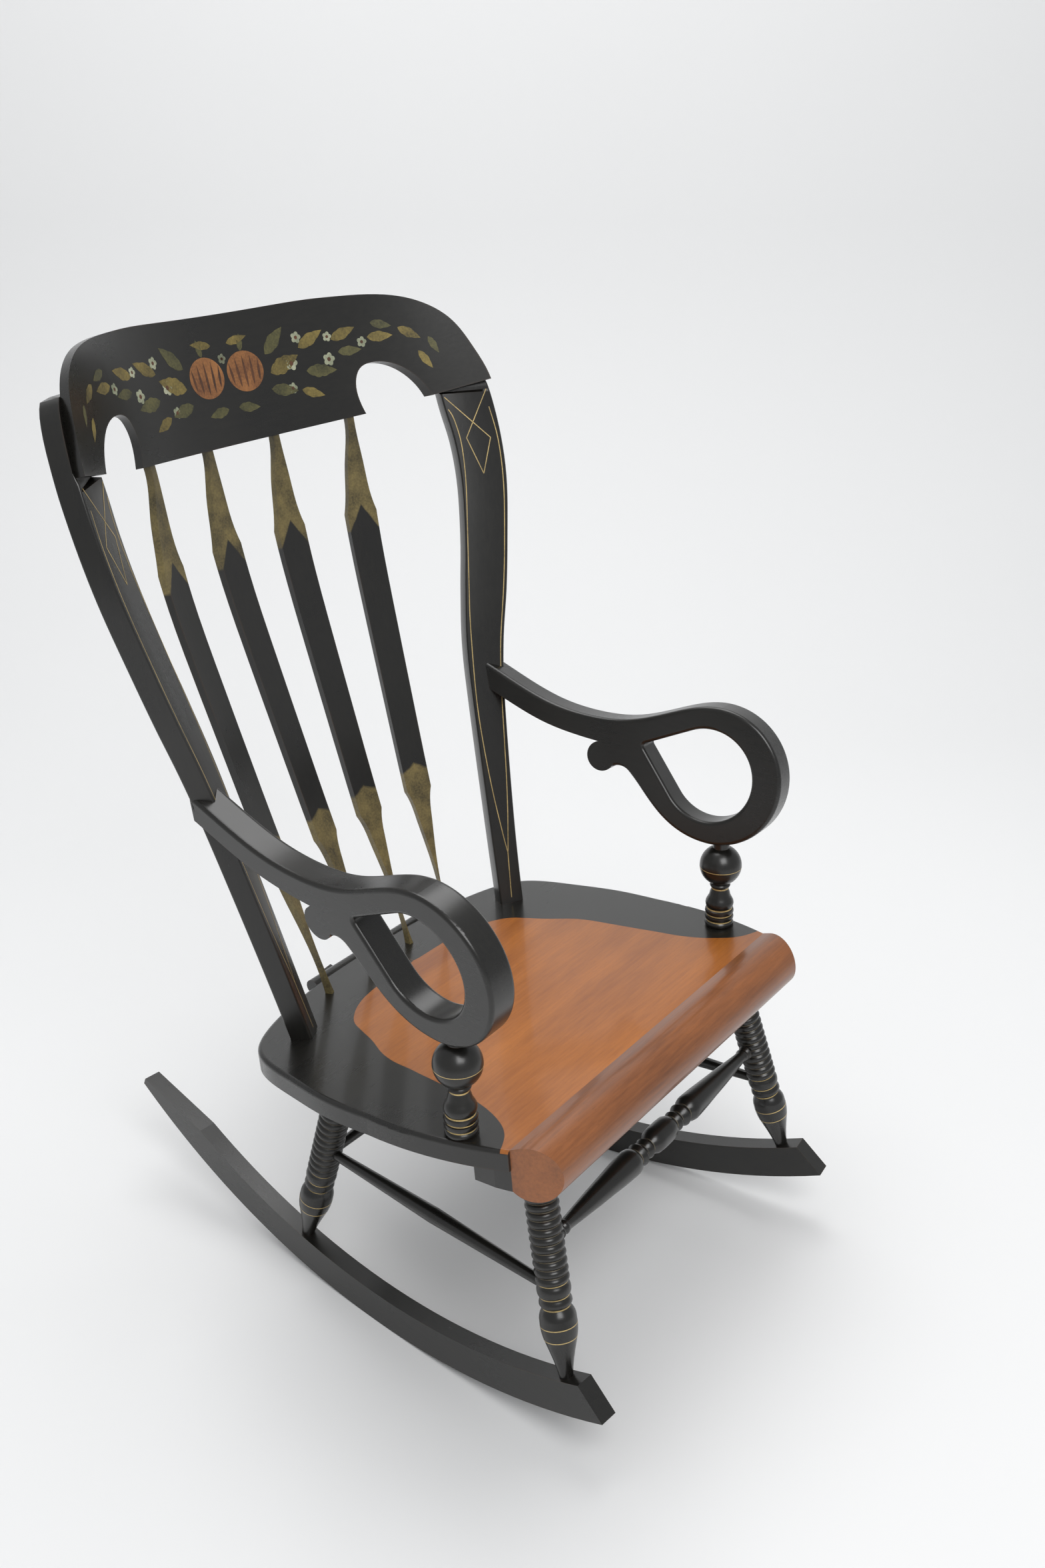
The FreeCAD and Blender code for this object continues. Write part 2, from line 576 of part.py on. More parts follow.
outline.addGeometry(ring(arc_r, p_nose, p_rear))
outline.addGeometry(ring(top_r, p_nose_top, p_tail_top))
outline.addGeometry(Part.LineSegment(p_nose, p_nose_top))
outline.addGeometry(Part.LineSegment(p_rear, p_tip))
outline.addGeometry(Part.LineSegment(p_tip, p_tail_top))
for first, first_end, second, second_end in (
        (0, 1, 2, 1), (2, 2, 1, 1), (0, 2, 3, 1), (3, 2, 4, 1), (4, 2, 1, 2), (0, 3, 1, 3)):
    outline.addConstraint(Sketcher.Constraint("Coincident", first, first_end,
                                              second, second_end))
outline.addConstraint(Sketcher.Constraint("PointOnObject", 0, 3, -2))
bind(outline, "centre", "DistanceY", (-1, 1, 0, 3), arc_r, "sizes.rocker_radius")
bind(outline, "tread", "Radius", (0,), arc_r, "sizes.rocker_radius")
bind(outline, "back", "Radius", (1,), top_r, "sizes.rocker_radius - sizes.rocker_height")
bind(outline, "nose", "DistanceX", (0, 1, -1, 1), nose, "sizes.rocker_front")
bind(outline, "nose_top", "DistanceX", (1, 1, -1, 1), nose_top,
     "sizes.rocker_front - sizes.rocker_nose")
bind(outline, "rear", "DistanceX", (-1, 1, 0, 2), rear, "sizes.rocker_rear")
bind(outline, "taper", "DistanceX", (1, 2, 0, 2), size("rocker_taper"), "sizes.rocker_taper")
bind(outline, "tip", "DistanceY", (3, 1, 3, 2), tip, "sizes.rocker_tip")
bind(outline, "tip_back", "DistanceX", (3, 2, 3, 1), 4.0, "sizes.rocker_tip * 4 / 9")
pad(rocker, outline, "sizes.rocker_thick")
toe = size("rocker_toe_deg") * DEG
rocker_x = half - size("rocker_in")
rocker_out = V(math.cos(toe), math.sin(toe), 0)
rocker_back = V(-math.sin(toe), math.cos(toe), 0)
half_board = V(rocker_out).multiply(-size("rocker_thick") / 2.0)
rocker.Placement = frame(V(rocker_x, 0, 0).add(half_board), rocker_out, rocker_back,
                         V(0, 0, 1))

# legs: from a socket in the seat's underside to a socket in the rocker
ring_r = size("leg_ring_dia") / 2.0
groove_r = ring_r - size("leg_groove_depth")
bulge_r = size("leg_bulge_dia") / 2.0
foot_r = size("leg_foot_dia") / 2.0
head_r = size("leg_head_dia") / 2.0
leg_tenon = size("leg_tenon")


def leg(label, inset, top_y, foot_y):
    """Return one ring-turned leg and the two ends of its centre line."""
    top = V(half - inset, top_y, seat_z(top_y) - thick / math.cos(pitch))
    foot_x = rocker_x - math.tan(toe) * foot_y
    bottom = V(foot_x, foot_y, arc_z(top_r, foot_y / math.cos(toe)))
    way = bottom.sub(top)
    span = way.Length
    way.normalize()
    rings_from = 12.0
    rings_to = span - 108.0
    count = int(round((rings_to - rings_from) / size("leg_ring_pitch")))
    step = (rings_to - rings_from) / count
    rows = [(-leg_tenon, head_r), (rings_from - 4.0, head_r), (rings_from, groove_r)]
    for k in range(count):
        rows.append((rings_from + step * (k + 0.5), ring_r))
        rows.append((rings_from + step * (k + 1.0), groove_r))
    rows += [(rings_to + 8.0, ring_r), (rings_to + 15.0, groove_r),
             (rings_to + 22.0, ring_r - 0.5), (rings_to + 27.0, groove_r - 1.0),
             (rings_to + 38.0, bulge_r), (rings_to + 56.0, bulge_r - 0.5),
             (rings_to + 78.0, bulge_r - 6.0), (span, foot_r),
             (span + size("foot_tenon"), foot_r - 0.5)]
    return turned(label, rows, top, bottom), top, bottom


def on_line(a, b, z):
    """Return the point of a centre line at a height."""
    share = (z - a.z) / (b.z - a.z)
    return a.add(b.sub(a).multiply(share))


front_leg, front_top, front_foot = leg("front_leg_turning", size("front_leg_in"),
                                       size("front_leg_y"), size("front_foot_y"))
rear_leg, rear_top, rear_foot = leg("rear_leg_turning", size("rear_leg_in"),
                                    size("rear_leg_y"), size("rear_foot_y"))

# stretchers
cone_r = size("cone_dia") / 2.0
cone_tip = size("cone_tip_dia") / 2.0
end_r = size("stretcher_end_dia") / 2.0
stub = size("stretcher_tenon")
front_at = on_line(front_top, front_foot, size("front_stretcher_z"))
mid = front_at.x
skin = mid - groove_r
half_rows = [(-skin - stub, end_r), (-skin + 1.0, end_r), (-skin + 5.0, cone_tip + 1.5),
             (-skin + 9.0, end_r + 0.5), (-skin + 13.0, cone_tip + 1.0),
             (-skin + 18.0, cone_tip - 0.5), (-0.50 * mid, cone_r - 3.0),
             (-0.28 * mid, cone_r), (-0.235 * mid, cone_r - 5.5),
             (-0.205 * mid, cone_r - 2.0), (-0.17 * mid, cone_r - 7.5),
             (-0.14 * mid, cone_r - 3.5), (-0.115 * mid, cone_r - 7.0),
             (-0.07 * mid, cone_r - 1.2)]
full_rows = half_rows + [(-along, radius) for along, radius in reversed(half_rows)]
front_stretcher = turned("front_stretcher", [(a + mid, r) for a, r in full_rows],
                         V(-mid, front_at.y, front_at.z), V(mid, front_at.y, front_at.z))


def plain_stretcher(label, a, b, dia):
    """Return a plain stretcher: a rod with a long taper to each of its ends."""
    way = b.sub(a)
    span = way.Length
    way.normalize()
    face = FreeCAD.Rotation(V(0, 0, 1), way)
    begin = groove_r - stub
    core = rod(label + "_core", "sizes.stretcher_end_dia / 2", "%g" % (span - 2.0 * begin),
               FreeCAD.Placement(a.add(V(way).multiply(begin)), face))
    parts = [core]
    for k, (r1, r2) in enumerate((("sizes.stretcher_end_dia / 2 + 0.01", dia + " / 2"),
                                  (dia + " / 2", "sizes.stretcher_end_dia / 2 + 0.01"))):
        taper = doc.addObject("Part::Cone", label + "_taper_%d" % (k + 1))
        taper.setExpression("Radius1", r1)
        taper.setExpression("Radius2", r2)
        taper.Height = span / 2.0 - ring_r - 2.0
        start = ring_r + 2.0 + k * (span / 2.0 - ring_r - 2.0)
        taper.Placement = FreeCAD.Placement(a.add(V(way).multiply(start)), face)
        parts.append(taper)
    whole = doc.addObject("Part::MultiFuse", label)
    whole.Label = label
    whole.Shapes = parts
    return whole


side_front = on_line(front_top, front_foot, size("side_stretcher_z"))
side_rear = on_line(rear_top, rear_foot, size("side_stretcher_z") - 4.0)
side_stretcher = plain_stretcher("left_side_stretcher", side_front, side_rear,
                                 "sizes.side_stretcher_dia")
rear_at = on_line(rear_top, rear_foot, size("rear_stretcher_z"))
rear_stretcher = plain_stretcher("rear_stretcher", V(-rear_at.x, rear_at.y, rear_at.z),
                                 rear_at, "sizes.rear_stretcher_dia")

# hidden dowels: two at each end of the crest, one in each arm's tail
dowel_half = size("dowel_length") / 2.0


def dowel(label, at, way):
    """Add a dowel centred on a point."""
    start = at.sub(V(way).multiply(dowel_half))
    return rod(label, "sizes.dowel_dia / 2", "sizes.dowel_length",
               FreeCAD.Placement(start, FreeCAD.Rotation(V(0, 0, 1), way)))


swing_at = math.asin((end - 30.0) / (bend + crest_thick))
dowels = []
for number, height in ((1, 30.0), (2, 62.0)):
    shift = 14.0 * (number - 1) / bend
    turn_by = swing_at - shift
    reach_r = bend + crest_thick + dowel_half - 8.0
    local = V(reach_r * math.sin(turn_by), reach_r * math.cos(turn_by) - bend, height)
    at = crest_place.multVec(local)
    way = crest_place.Rotation.multVec(V(math.sin(turn_by), math.cos(turn_by), 0))
    dowels.append(dowel("left_crest_dowel_%d" % number, at, way))
tail_at = arm_place.multVec(V(-size("arm_thick") / 2.0, 12.0 - tail, 72.0))
arm_dowel = dowel("left_arm_dowel", tail_at, V(forward).multiply(-1.0))

# joinery
doc.recompute()
other = {}
for tool in (front_leg, rear_leg, arm_post, post_blank, outer_slat, inner_slat):
    other[tool.Label] = mirrored(tool.Label.replace("left_", "right_") if
                                 tool.Label.startswith("left_") else
                                 tool.Label + "_right", tool)
both = [front_leg, rear_leg, arm_post, post_blank, outer_slat, inner_slat]
both += list(other.values())
seat = cut("seat_plank", plank, both)
front_roll = cut("seat_front_roll", roll_ends, [front_leg, other["front_leg_turning"]])
rear_roll = cut("seat_rear_roll", rear_round, [plank])
dowel_twins = [mirrored(d.Label.replace("left_", "right_"), d) for d in dowels]
crest = cut("crest_rail", crest_blank,
            [outer_slat, inner_slat, other["left_outer_slat"], other["left_inner_slat"]]
            + dowels + dowel_twins)
post = cut("left_back_post", post_blank, [crest_blank, arm_dowel] + dowels)
arm = cut("left_arm", arm_blank, [post_blank, arm_post, arm_dowel])
left_rocker = cut("left_rocker", rocker, [front_leg, rear_leg])
left_front_leg = cut("left_front_leg", front_leg, [front_stretcher, side_stretcher])
left_rear_leg = cut("left_rear_leg", rear_leg, [rear_stretcher, side_stretcher])
doc.recompute()

nodes = [seat, front_roll, rear_roll, crest, front_stretcher, rear_stretcher,
         outer_slat, inner_slat, other["left_outer_slat"], other["left_inner_slat"],
         arm_post, other["left_arm_post"]] + dowels + dowel_twins
for part in (post, arm, left_rocker, left_front_leg, left_rear_leg, side_stretcher,
             arm_dowel):
    nodes.append(part)
    nodes.append(mirrored(part.Label.replace("left_", "right_"), part))
doc.recompute()

os.makedirs("parts", exist_ok=True)
for item in doc.Objects:
    if "Invalid" in item.State or "Error" in item.State:
        raise RuntimeError("failed object: " + item.Label)
total = 0.0
moment = V(0, 0, 0)
for node in nodes:
    shape = node.Shape
    if shape.isNull() or not shape.isValid() or not shape.Solids:
        raise RuntimeError("bad shape: " + node.Label)
    centre = V(0, 0, 0)
    for solid in shape.Solids:
        centre = centre.add(V(solid.CenterOfMass).multiply(solid.Volume / shape.Volume))
    total += shape.Volume
    moment = moment.add(V(centre).multiply(shape.Volume))
    print("%-22s solids %d volume %9.0f centre %s" % (
        node.Label, len(shape.Solids), shape.Volume, [round(c, 1) for c in centre]))
for node in nodes:
    node.Shape.exportStep("parts/" + node.Label + ".step")
print("volume", round(total), "centre of mass", [round(c / total, 1) for c in moment])
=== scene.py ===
"""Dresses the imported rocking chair: painted boards, turned wood, striping, stencil, stage and camera."""
from __future__ import annotations

import json
import logging
import math
from dataclasses import dataclass, field
from enum import Enum
from typing import Iterable, Sequence, Union

import bpy
from mathutils import Matrix, Vector

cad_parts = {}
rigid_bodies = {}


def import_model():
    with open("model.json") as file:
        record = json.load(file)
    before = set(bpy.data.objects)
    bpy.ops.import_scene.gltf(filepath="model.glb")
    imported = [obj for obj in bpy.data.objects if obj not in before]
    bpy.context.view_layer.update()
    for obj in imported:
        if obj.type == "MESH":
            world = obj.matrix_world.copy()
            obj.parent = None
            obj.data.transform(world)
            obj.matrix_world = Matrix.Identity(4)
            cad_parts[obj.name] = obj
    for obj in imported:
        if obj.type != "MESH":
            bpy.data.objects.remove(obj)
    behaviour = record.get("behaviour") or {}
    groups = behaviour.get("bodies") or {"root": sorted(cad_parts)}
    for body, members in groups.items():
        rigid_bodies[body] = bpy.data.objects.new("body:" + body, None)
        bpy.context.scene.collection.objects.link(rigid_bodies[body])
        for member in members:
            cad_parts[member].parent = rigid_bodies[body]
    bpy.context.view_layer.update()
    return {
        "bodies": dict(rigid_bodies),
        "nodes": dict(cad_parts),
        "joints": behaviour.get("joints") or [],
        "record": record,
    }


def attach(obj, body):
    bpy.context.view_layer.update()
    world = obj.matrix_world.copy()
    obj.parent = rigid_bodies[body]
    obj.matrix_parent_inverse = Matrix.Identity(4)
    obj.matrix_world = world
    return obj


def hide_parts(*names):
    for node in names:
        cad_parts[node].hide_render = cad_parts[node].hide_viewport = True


LOG = logging.getLogger("rocking_chair")
MM = 0.001
# How far the bump map's relief stands out, in metres.
BUMP_DEPTH = 0.0006
# How far a turned piece reaches into the piece that it enters, in millimetres.
TENON_IN = 8.0
# The stencil's paints, as the numbers of its materials.
GOLD, ORANGE, OLIVE, PALE, SHADE = range(5)
# Leaves of the stencil: place along the rail, height, length, width, direction, paint, teeth.
LEAVES = (
    (66, 70, 46, 20, 18, GOLD, 4), (64, 92, 42, 17, 40, OLIVE, 3), (62, 52, 38, 15, -12, OLIVE, 3),
    (112, 92, 40, 15, 22, GOLD, 3), (116, 64, 42, 16, -8, OLIVE, 4), (104, 44, 32, 12, -22, GOLD, 3),
    (158, 94, 36, 14, 14, GOLD, 3), (164, 78, 32, 12, -4, OLIVE, 3), (206, 88, 34, 13, -6, GOLD, 3),
    (214, 104, 28, 11, -18, OLIVE, 3), (248, 92, 32, 12, -34, GOLD, 3),
    (268, 60, 28, 10, -60, GOLD, 3), (284, 74, 24, 9, -66, OLIVE, 3), (8, 40, 32, 12, -8, OLIVE, 3),
    (12, 112, 32, 10, 8, GOLD, 3))
# Flowers of the stencil: place along the rail, height, radius.
FLOWERS = ((98, 76, 8.5), (112, 104, 7.0), (150, 72, 8.0), (154, 98, 6.0), (198, 84, 6.5),
           (92, 48, 6.5), (0.01, 96, 6.0))

Colour = tuple[float, float, float]
Point = tuple[float, float, float]


class Side(Enum):
    """The two mirrored sides of the chair, with the sign of their x."""

    LEFT = 1
    RIGHT = -1

    @property
    def word(self) -> str:
        """The side's name as it stands at the head of a node's name."""
        return self.name.lower()

    def place(self, spot: Vector) -> Vector:
        """Mirrors a point of the left side onto this side."""
        return Vector((spot.x * self.value, spot.y, spot.z))


class Grain(Enum):
    """The way that the wood's fibres run, as the stretch of the texture along x, y and z."""

    ACROSS = (5.0, 60.0, 60.0)
    ALONG = (60.0, 5.0, 60.0)
    UPRIGHT = (60.0, 60.0, 5.0)


def mix_colours(a: Colour, b: Colour, share: float) -> Colour:
    """Blends two colours.

    Args:
        a: The colour at share 0.
        b: The colour at share 1.
        share: How much of b there is.

    Returns:
        The blended colour.
    """
    return tuple(p + (q - p) * share for p, q in zip(a, b))


@dataclass(frozen=True)
class Axes:
    """A right-handed set of axes, given in millimetres, that places points in the chair's frame."""

    origin: Vector
    out: Vector
    back: Vector
    up: Vector

    def point(self, x: float, y: float, z: float) -> Vector:
        """Gives a point's place in the frame.

        Args:
            x: Distance along out, in millimetres.
            y: Distance along back, in millimetres.
            z: Distance along up, in millimetres.

        Returns:
            The point in metres.
        """
        return (self.origin + self.out * x + self.back * y + self.up * z) * MM

    def mirrored(self) -> Axes:
        """Gives the same axes on the other side of the chair, with out still leading outwards."""
        flip = [Vector((-v.x, v.y, v.z)) for v in (self.origin, self.out, self.back, self.up)]
        return Axes(*flip)


class Value:
    """A number that varies over a surface: a shader socket that can stand in an expression."""

    def __init__(self, graph: Graph, socket: bpy.types.NodeSocket) -> None:
        """Keeps the graph and the socket."""
        self.graph = graph
        self.socket = socket

    def __add__(self, other: Number) -> Value:
        """Adds a number."""
        return self.graph.maths("ADD", self, other)

    __radd__ = __add__

    def __sub__(self, other: Number) -> Value:
        """Takes a number away."""
        return self.graph.maths("SUBTRACT", self, other)

    def __rsub__(self, other: Number) -> Value:
        """Takes this value away from a number."""
        return self.graph.maths("SUBTRACT", other, self)

    def __mul__(self, other: Number) -> Value:
        """Multiplies by a number."""
        return self.graph.maths("MULTIPLY", self, other)

    __rmul__ = __mul__

    def __truediv__(self, other: Number) -> Value:
        """Divides by a number."""
        return self.graph.maths("DIVIDE", self, other)

    def __abs__(self) -> Value:
        """Drops the sign."""
        return self.graph.maths("ABSOLUTE", self)

    def clamped(self) -> Value:
        """Holds the value between 0 and 1."""
        return self.graph.maths("MINIMUM", self.graph.maths("MAXIMUM", self, 0.0), 1.0)


Number = Union[Value, float]


class Graph:
    """A material's node tree, written as expressions."""

    def __init__(self, name: str) -> None:
        """Makes an empty material.

        Args:
            name: The material's name.
        """
        self.material = bpy.data.materials.new(name)
        self.material.use_nodes = True
        self.tree = self.material.node_tree
        self.tree.nodes.clear()

    def node(self, kind: str, settings: dict[str, object] | None = None,
             sockets: dict[str | int, object] | None = None) -> bpy.types.Node:
        """Adds a node.

        Args:
            kind: The node's type.
            settings: Its settings; "curve" holds the points of a curve node.
            sockets: The values, or the links, of its input sockets.

        Returns:
            The node.
        """
        made = self.tree.nodes.new(kind)
        for key, value in (settings or {}).items():
            if key == "curve":
                line = made.mapping.curves[0].points
                while len(line) < len(value):
                    line.new(0.5, 0.5)
                for spot, place in zip(line, value):
                    spot.location = place
                    spot.handle_type = "AUTO_CLAMPED"
                made.mapping.update()
            else:
                setattr(made, key, value)
        for key, value in (sockets or {}).items():
            if isinstance(value, Value):
                self.tree.links.new(value.socket, made.inputs[key])
            elif isinstance(value, tuple) and made.inputs[key].type == "RGBA":
                made.inputs[key].default_value = (*value[:3], 1.0)
            else:
                made.inputs[key].default_value = value
        return made

    def maths(self, operation: str, a: Number, b: Number | None = None) -> Value:
        """Adds a Math node.

        Args:
            operation: The node's operation.
            a: The first number.
            b: The second number, where there is one.

        Returns:
            The result.
        """
        sockets = {0: a} if b is None else {0: a, 1: b}
        return Value(self, self.node("ShaderNodeMath", {"operation": operation}, sockets).outputs[0])

    def blend(self, share: Number, a: object, b: object) -> Value:
        """Mixes two colours.

        Args:
            share: How much of b there is.
            a: The colour at 0.
            b: The colour at 1.

        Returns:
            The mixed colour.
        """
        made = self.node("ShaderNodeMix", {"data_type": "RGBA"}, {0: share, 6: a, 7: b})
        return Value(self, made.outputs[2])

    def place(self) -> Value:
        """Gives the surface point's place in the chair's frame, in metres."""
        return Value(self, self.node("ShaderNodeTexCoord").outputs["Object"])

    def along(self, axes: Axes, way: Vector) -> Value:
        """Measures how far the surface point is from an origin along a direction.

        Args:
            axes: The axes whose origin is used.
            way: The direction, in the frame.

        Returns:
            The distance in metres.
        """
        start = axes.origin * MM
        made = self.node("ShaderNodeVectorMath", {"operation": "DOT_PRODUCT"},
                         {0: self.place(), 1: tuple(way)})
        return Value(self, made.outputs["Value"]) - start.dot(way)

    def noise(self, scale: float, stretch: Point = (1.0, 1.0, 1.0), detail: float = 3.0,
              shift: float = 0.0) -> Value:
        """Adds a noise texture laid out in the frame.

        Args:
            scale: The noise's scale.
            stretch: How much it is squeezed along x, y and z.
            detail: The number of finer layers.
            shift: A shift that gives each piece its own pattern.

        Returns:
            The noise, about 0.5 on average.
        """
        mapped = self.node("ShaderNodeMapping", {}, {
            "Vector": self.place(), "Scale": stretch, "Location": (shift, 0.7 * shift, -shift)})
        made = self.node("ShaderNodeTexNoise", {}, {
            "Vector": Value(self, mapped.outputs[0]), "Scale": scale, "Detail": detail})
        return Value(self, made.outputs["Fac"])

    def edges(self, radius: float) -> Value:
        """Finds the piece's edges.

        Args:
            radius: How wide the edge band is, in metres.

        Returns:
            About 0 on flat faces and rising towards 1 at sharp edges.
        """
        soft = self.node("ShaderNodeBevel", {"samples": 4}, {"Radius": radius})
        true = self.node("ShaderNodeNewGeometry")
        made = self.node("ShaderNodeVectorMath", {"operation": "DOT_PRODUCT"}, {
            0: Value(self, soft.outputs[0]), 1: Value(self, true.outputs["Normal"])})
        return ((1.0 - Value(self, made.outputs["Value"])) * 5.0).clamped()

    def finish(self, layer: Layer, coat: float = 0.0, coat_roughness: float = 0.1,
               bump: float = 0.2) -> bpy.types.Material:
        """Joins a layer to the surface shader.

        Args:
            layer: The colour, roughness and height to use.
            coat: The clear coat's weight.
            coat_roughness: The clear coat's roughness.
            bump: The bump's strength.

        Returns:
            The finished material.
        """
        relief = self.node("ShaderNodeBump", {}, {
            "Strength": bump, "Distance": BUMP_DEPTH, "Height": layer.height})
        shader = self.node("ShaderNodeBsdfPrincipled", {}, {
            "Base Color": layer.colour, "Roughness": layer.roughness,
            "Metallic": layer.metallic, "Coat Weight": coat,
            "Coat Roughness": coat_roughness, "Normal": Value(self, relief.outputs[0])})
        end = self.node("ShaderNodeOutputMaterial")
        self.tree.links.new(shader.outputs[0], end.inputs["Surface"])
        return self.material


@dataclass(frozen=True)
class Layer:
    """One coat of a finish: what it looks like over the surface."""

    colour: Value
    roughness: Value
    height: Value
    metallic: Number = 0.0

    def over(self, graph: Graph, mask: Value, below: Layer) -> Layer:
        """Lays this coat over another one where a mask says.

        Args:
            graph: The material's graph.
            mask: 1 where this coat is, 0 where the one below shows.
            below: The coat below.

        Returns:
            The two as one coat.
        """
        return Layer(graph.blend(mask, below.colour, self.colour),
                     below.roughness + (self.roughness - below.roughness) * mask,
                     below.height + (self.height - below.height) * mask,
                     mask * self.metallic)


@dataclass(frozen=True)
class Lacquer:
    """Black paint under satin lacquer, brushed along the grain and rubbed brown at the edges."""

    grain: Grain = Grain.UPRIGHT
    shift: float = 0.0
    wear: float = 0.5
    deep: Colour = (0.0040, 0.0040, 0.0037)
    pale: Colour = (0.0120, 0.0108, 0.0085)
    rubbed: Colour = (0.050, 0.027, 0.014)

    def layer(self, graph: Graph) -> Layer:
        """Builds the paint's coat.

        Args:
            graph: The material's graph.

        Returns:
            The paint's coat.
        """
        fibres = graph.noise(4.0, self.grain.value, 4.0, self.shift)
        cloud = graph.noise(9.0, detail=4.0, shift=self.shift + 3.0)
        tone = graph.blend((fibres * 0.8 + cloud * 0.7 - 0.25).clamped(), self.deep, self.pale)
        worn = (graph.edges(0.003) * ((cloud - 0.42) * 5.0).clamped() * self.wear).clamped()
        colour = graph.blend(worn, tone, self.rubbed)
        roughness = 0.19 + cloud * 0.14 + fibres * 0.06 + worn * 0.2
        return Layer(colour, roughness, fibres * 0.35 + graph.noise(160.0, shift=1.0) * 0.06)

    def material(self, name: str) -> bpy.types.Material:
        """Makes the finish a material of the given name."""
        graph = Graph(name)
        return graph.finish(self.layer(graph), coat=0.18, coat_roughness=0.22, bump=0.25)


@dataclass(frozen=True)
class Timber:
    """Clear-finished amber wood with fine dark pores and broad bands of tone."""

    light: Colour = (0.425, 0.138, 0.018)
    dark: Colour = (0.235, 0.066, 0.007)
    grain: Grain = Grain.ACROSS
    shift: float = 0.0

    def layer(self, graph: Graph) -> Layer:
        """Builds the wood's coat.

        Args:
            graph: The material's graph.

        Returns:
            The wood's coat.
        """
        bands = graph.noise(1.4, self._stretch(0.20), 3.0, self.shift)
        fibres = graph.noise(5.0, self._stretch(1.0), 5.0, self.shift + 2.0)
        pores = graph.noise(26.0, self._stretch(1.0), 2.0, self.shift + 5.0)
        cloud = graph.noise(5.5, detail=3.0, shift=self.shift)
        tone = graph.blend(((bands - 0.5) * 1.7 + (fibres - 0.5) * 1.0 + (cloud - 0.5) * 1.1
                            + 0.5).clamped(), self.dark, self.light)
        pore_mask = ((pores - 0.60) * 7.0).clamped() * 0.38
        colour = graph.blend(pore_mask, tone, mix_colours(self.dark, (0.0, 0.0, 0.0), 0.45))
        return Layer(colour, 0.25 + fibres * 0.12 + cloud * 0.12, fibres * 0.5 - pore_mask * 0.6)

    def _stretch(self, share: float) -> Point:
        """Gives the grain's stretch, scaled by a share."""
        return tuple(v * share for v in self.grain.value)

    def material(self, name: str) -> bpy.types.Material:
        """Makes the finish a material of the given name."""
        graph = Graph(name)
        return graph.finish(self.layer(graph), coat=0.35, coat_roughness=0.16, bump=0.22)


@dataclass(frozen=True)
class Bronze:
    """Hand-laid metallic paint: uneven, a little rubbed, olive to gold."""

    light: Colour = (0.36, 0.27, 0.10)
    dark: Colour = (0.12, 0.095, 0.045)
    metal: float = 0.35
    shift: float = 0.0

    def layer(self, graph: Graph) -> Layer:
        """Builds the metallic paint's coat.

        Args:
            graph: The material's graph.

        Returns:
            The metallic paint's coat.
        """
        cloud = graph.noise(34.0, detail=5.0, shift=self.shift)
        flecks = graph.noise(420.0, detail=2.0, shift=self.shift + 1.0)
        tone = graph.blend(((cloud - 0.5) * 2.2 + (flecks - 0.5) * 1.2 + 0.55).clamped(),
                           self.dark, self.light)
        return Layer(tone, 0.36 + cloud * 0.2, flecks * 0.3 + cloud * 0.3, self.metal)

    def material(self, name: str) -> bpy.types.Material:
        """Makes the finish a material of the given name."""
        graph = Graph(name)
        return graph.finish(self.layer(graph), coat=0.15, coat_roughness=0.25, bump=0.25)


@dataclass
class Sheaf:
    """Points, faces and face finishes that are gathered into one piece."""

    name: str
    points: list[Vector] = field(default_factory=list)
    faces: list[tuple[int, ...]] = field(default_factory=list)
    marks: list[int] = field(default_factory=list)

    def add(self, points: Iterable[Vector], faces: Iterable[Sequence[int]], mark: int = 0) -> None:
        """Adds a patch.

        Args:
            points: Its points, in metres.
            faces: Its faces, numbered from its own first point.
            mark: The number of its material.
        """
        start = len(self.points)
        self.points.extend(points)
        for face in faces:
            self.faces.append(tuple(start + i for i in face))
            self.marks.append(mark)

    def add_tube(self, points: Sequence[Vector], ring: int, marks: Sequence[int],
                 side: Side) -> None:
        """Adds a stack of rings with its two end caps.

        Args:
            points: The rings' points, in metres, from one end to the other.
            ring: How many points one ring has.
            marks: The number of the material between each ring and the next.
            side: The side of the chair, which turns the faces the right way out.
        """
        faces: list[tuple[int, ...]] = []
        for low in range(0, len(points) - ring, ring):
            for k in range(ring):
                ahead = (k + 1) % ring
                faces.append((low + k, low + ahead, low + ring + ahead, low + ring + k))
        faces.append(tuple(reversed(range(ring))))
        faces.append(tuple(range(len(points) - ring, len(points))))
        if side is Side.RIGHT:
            faces = [tuple(reversed(face)) for face in faces]
        self.add(points, faces)
        self.marks[-len(faces):] = [mark for mark in marks for _ in range(ring)] + [0, 0]

    def build(self, materials: Sequence[bpy.types.Material], slot: str, smooth: bool = True,
              sharp_deg: float = 40.0, replaced: Sequence[str] = ()) -> bpy.types.Object:
        """Makes the piece and lets it ride on the chair.

        Args:
            materials: Its materials, by mark.
            slot: The record's material slot; not used.
            smooth: Whether its faces are shaded smooth.
            sharp_deg: Edges sharper than this stay crisp.
            replaced: The CAD nodes that it stands for.

        Returns:
            The piece.
        """
        mesh = bpy.data.meshes.new(self.name)
        mesh.from_pydata([tuple(p) for p in self.points], [], self.faces)
        for material in materials:
            mesh.materials.append(material)
        mesh.polygons.foreach_set("material_index", self.marks)
        mesh.polygons.foreach_set("use_smooth", [smooth] * len(self.faces))
        mesh.update()
        if smooth:
            mesh.set_sharp_from_angle(angle=math.radians(sharp_deg))
        made = bpy.data.objects.new(self.name, mesh)
        bpy.context.scene.collection.objects.link(made)
        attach(made, "root")
        if replaced:
            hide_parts(*replaced)
        LOG.info("piece %s: %d faces", self.name, len(self.faces))
        return made


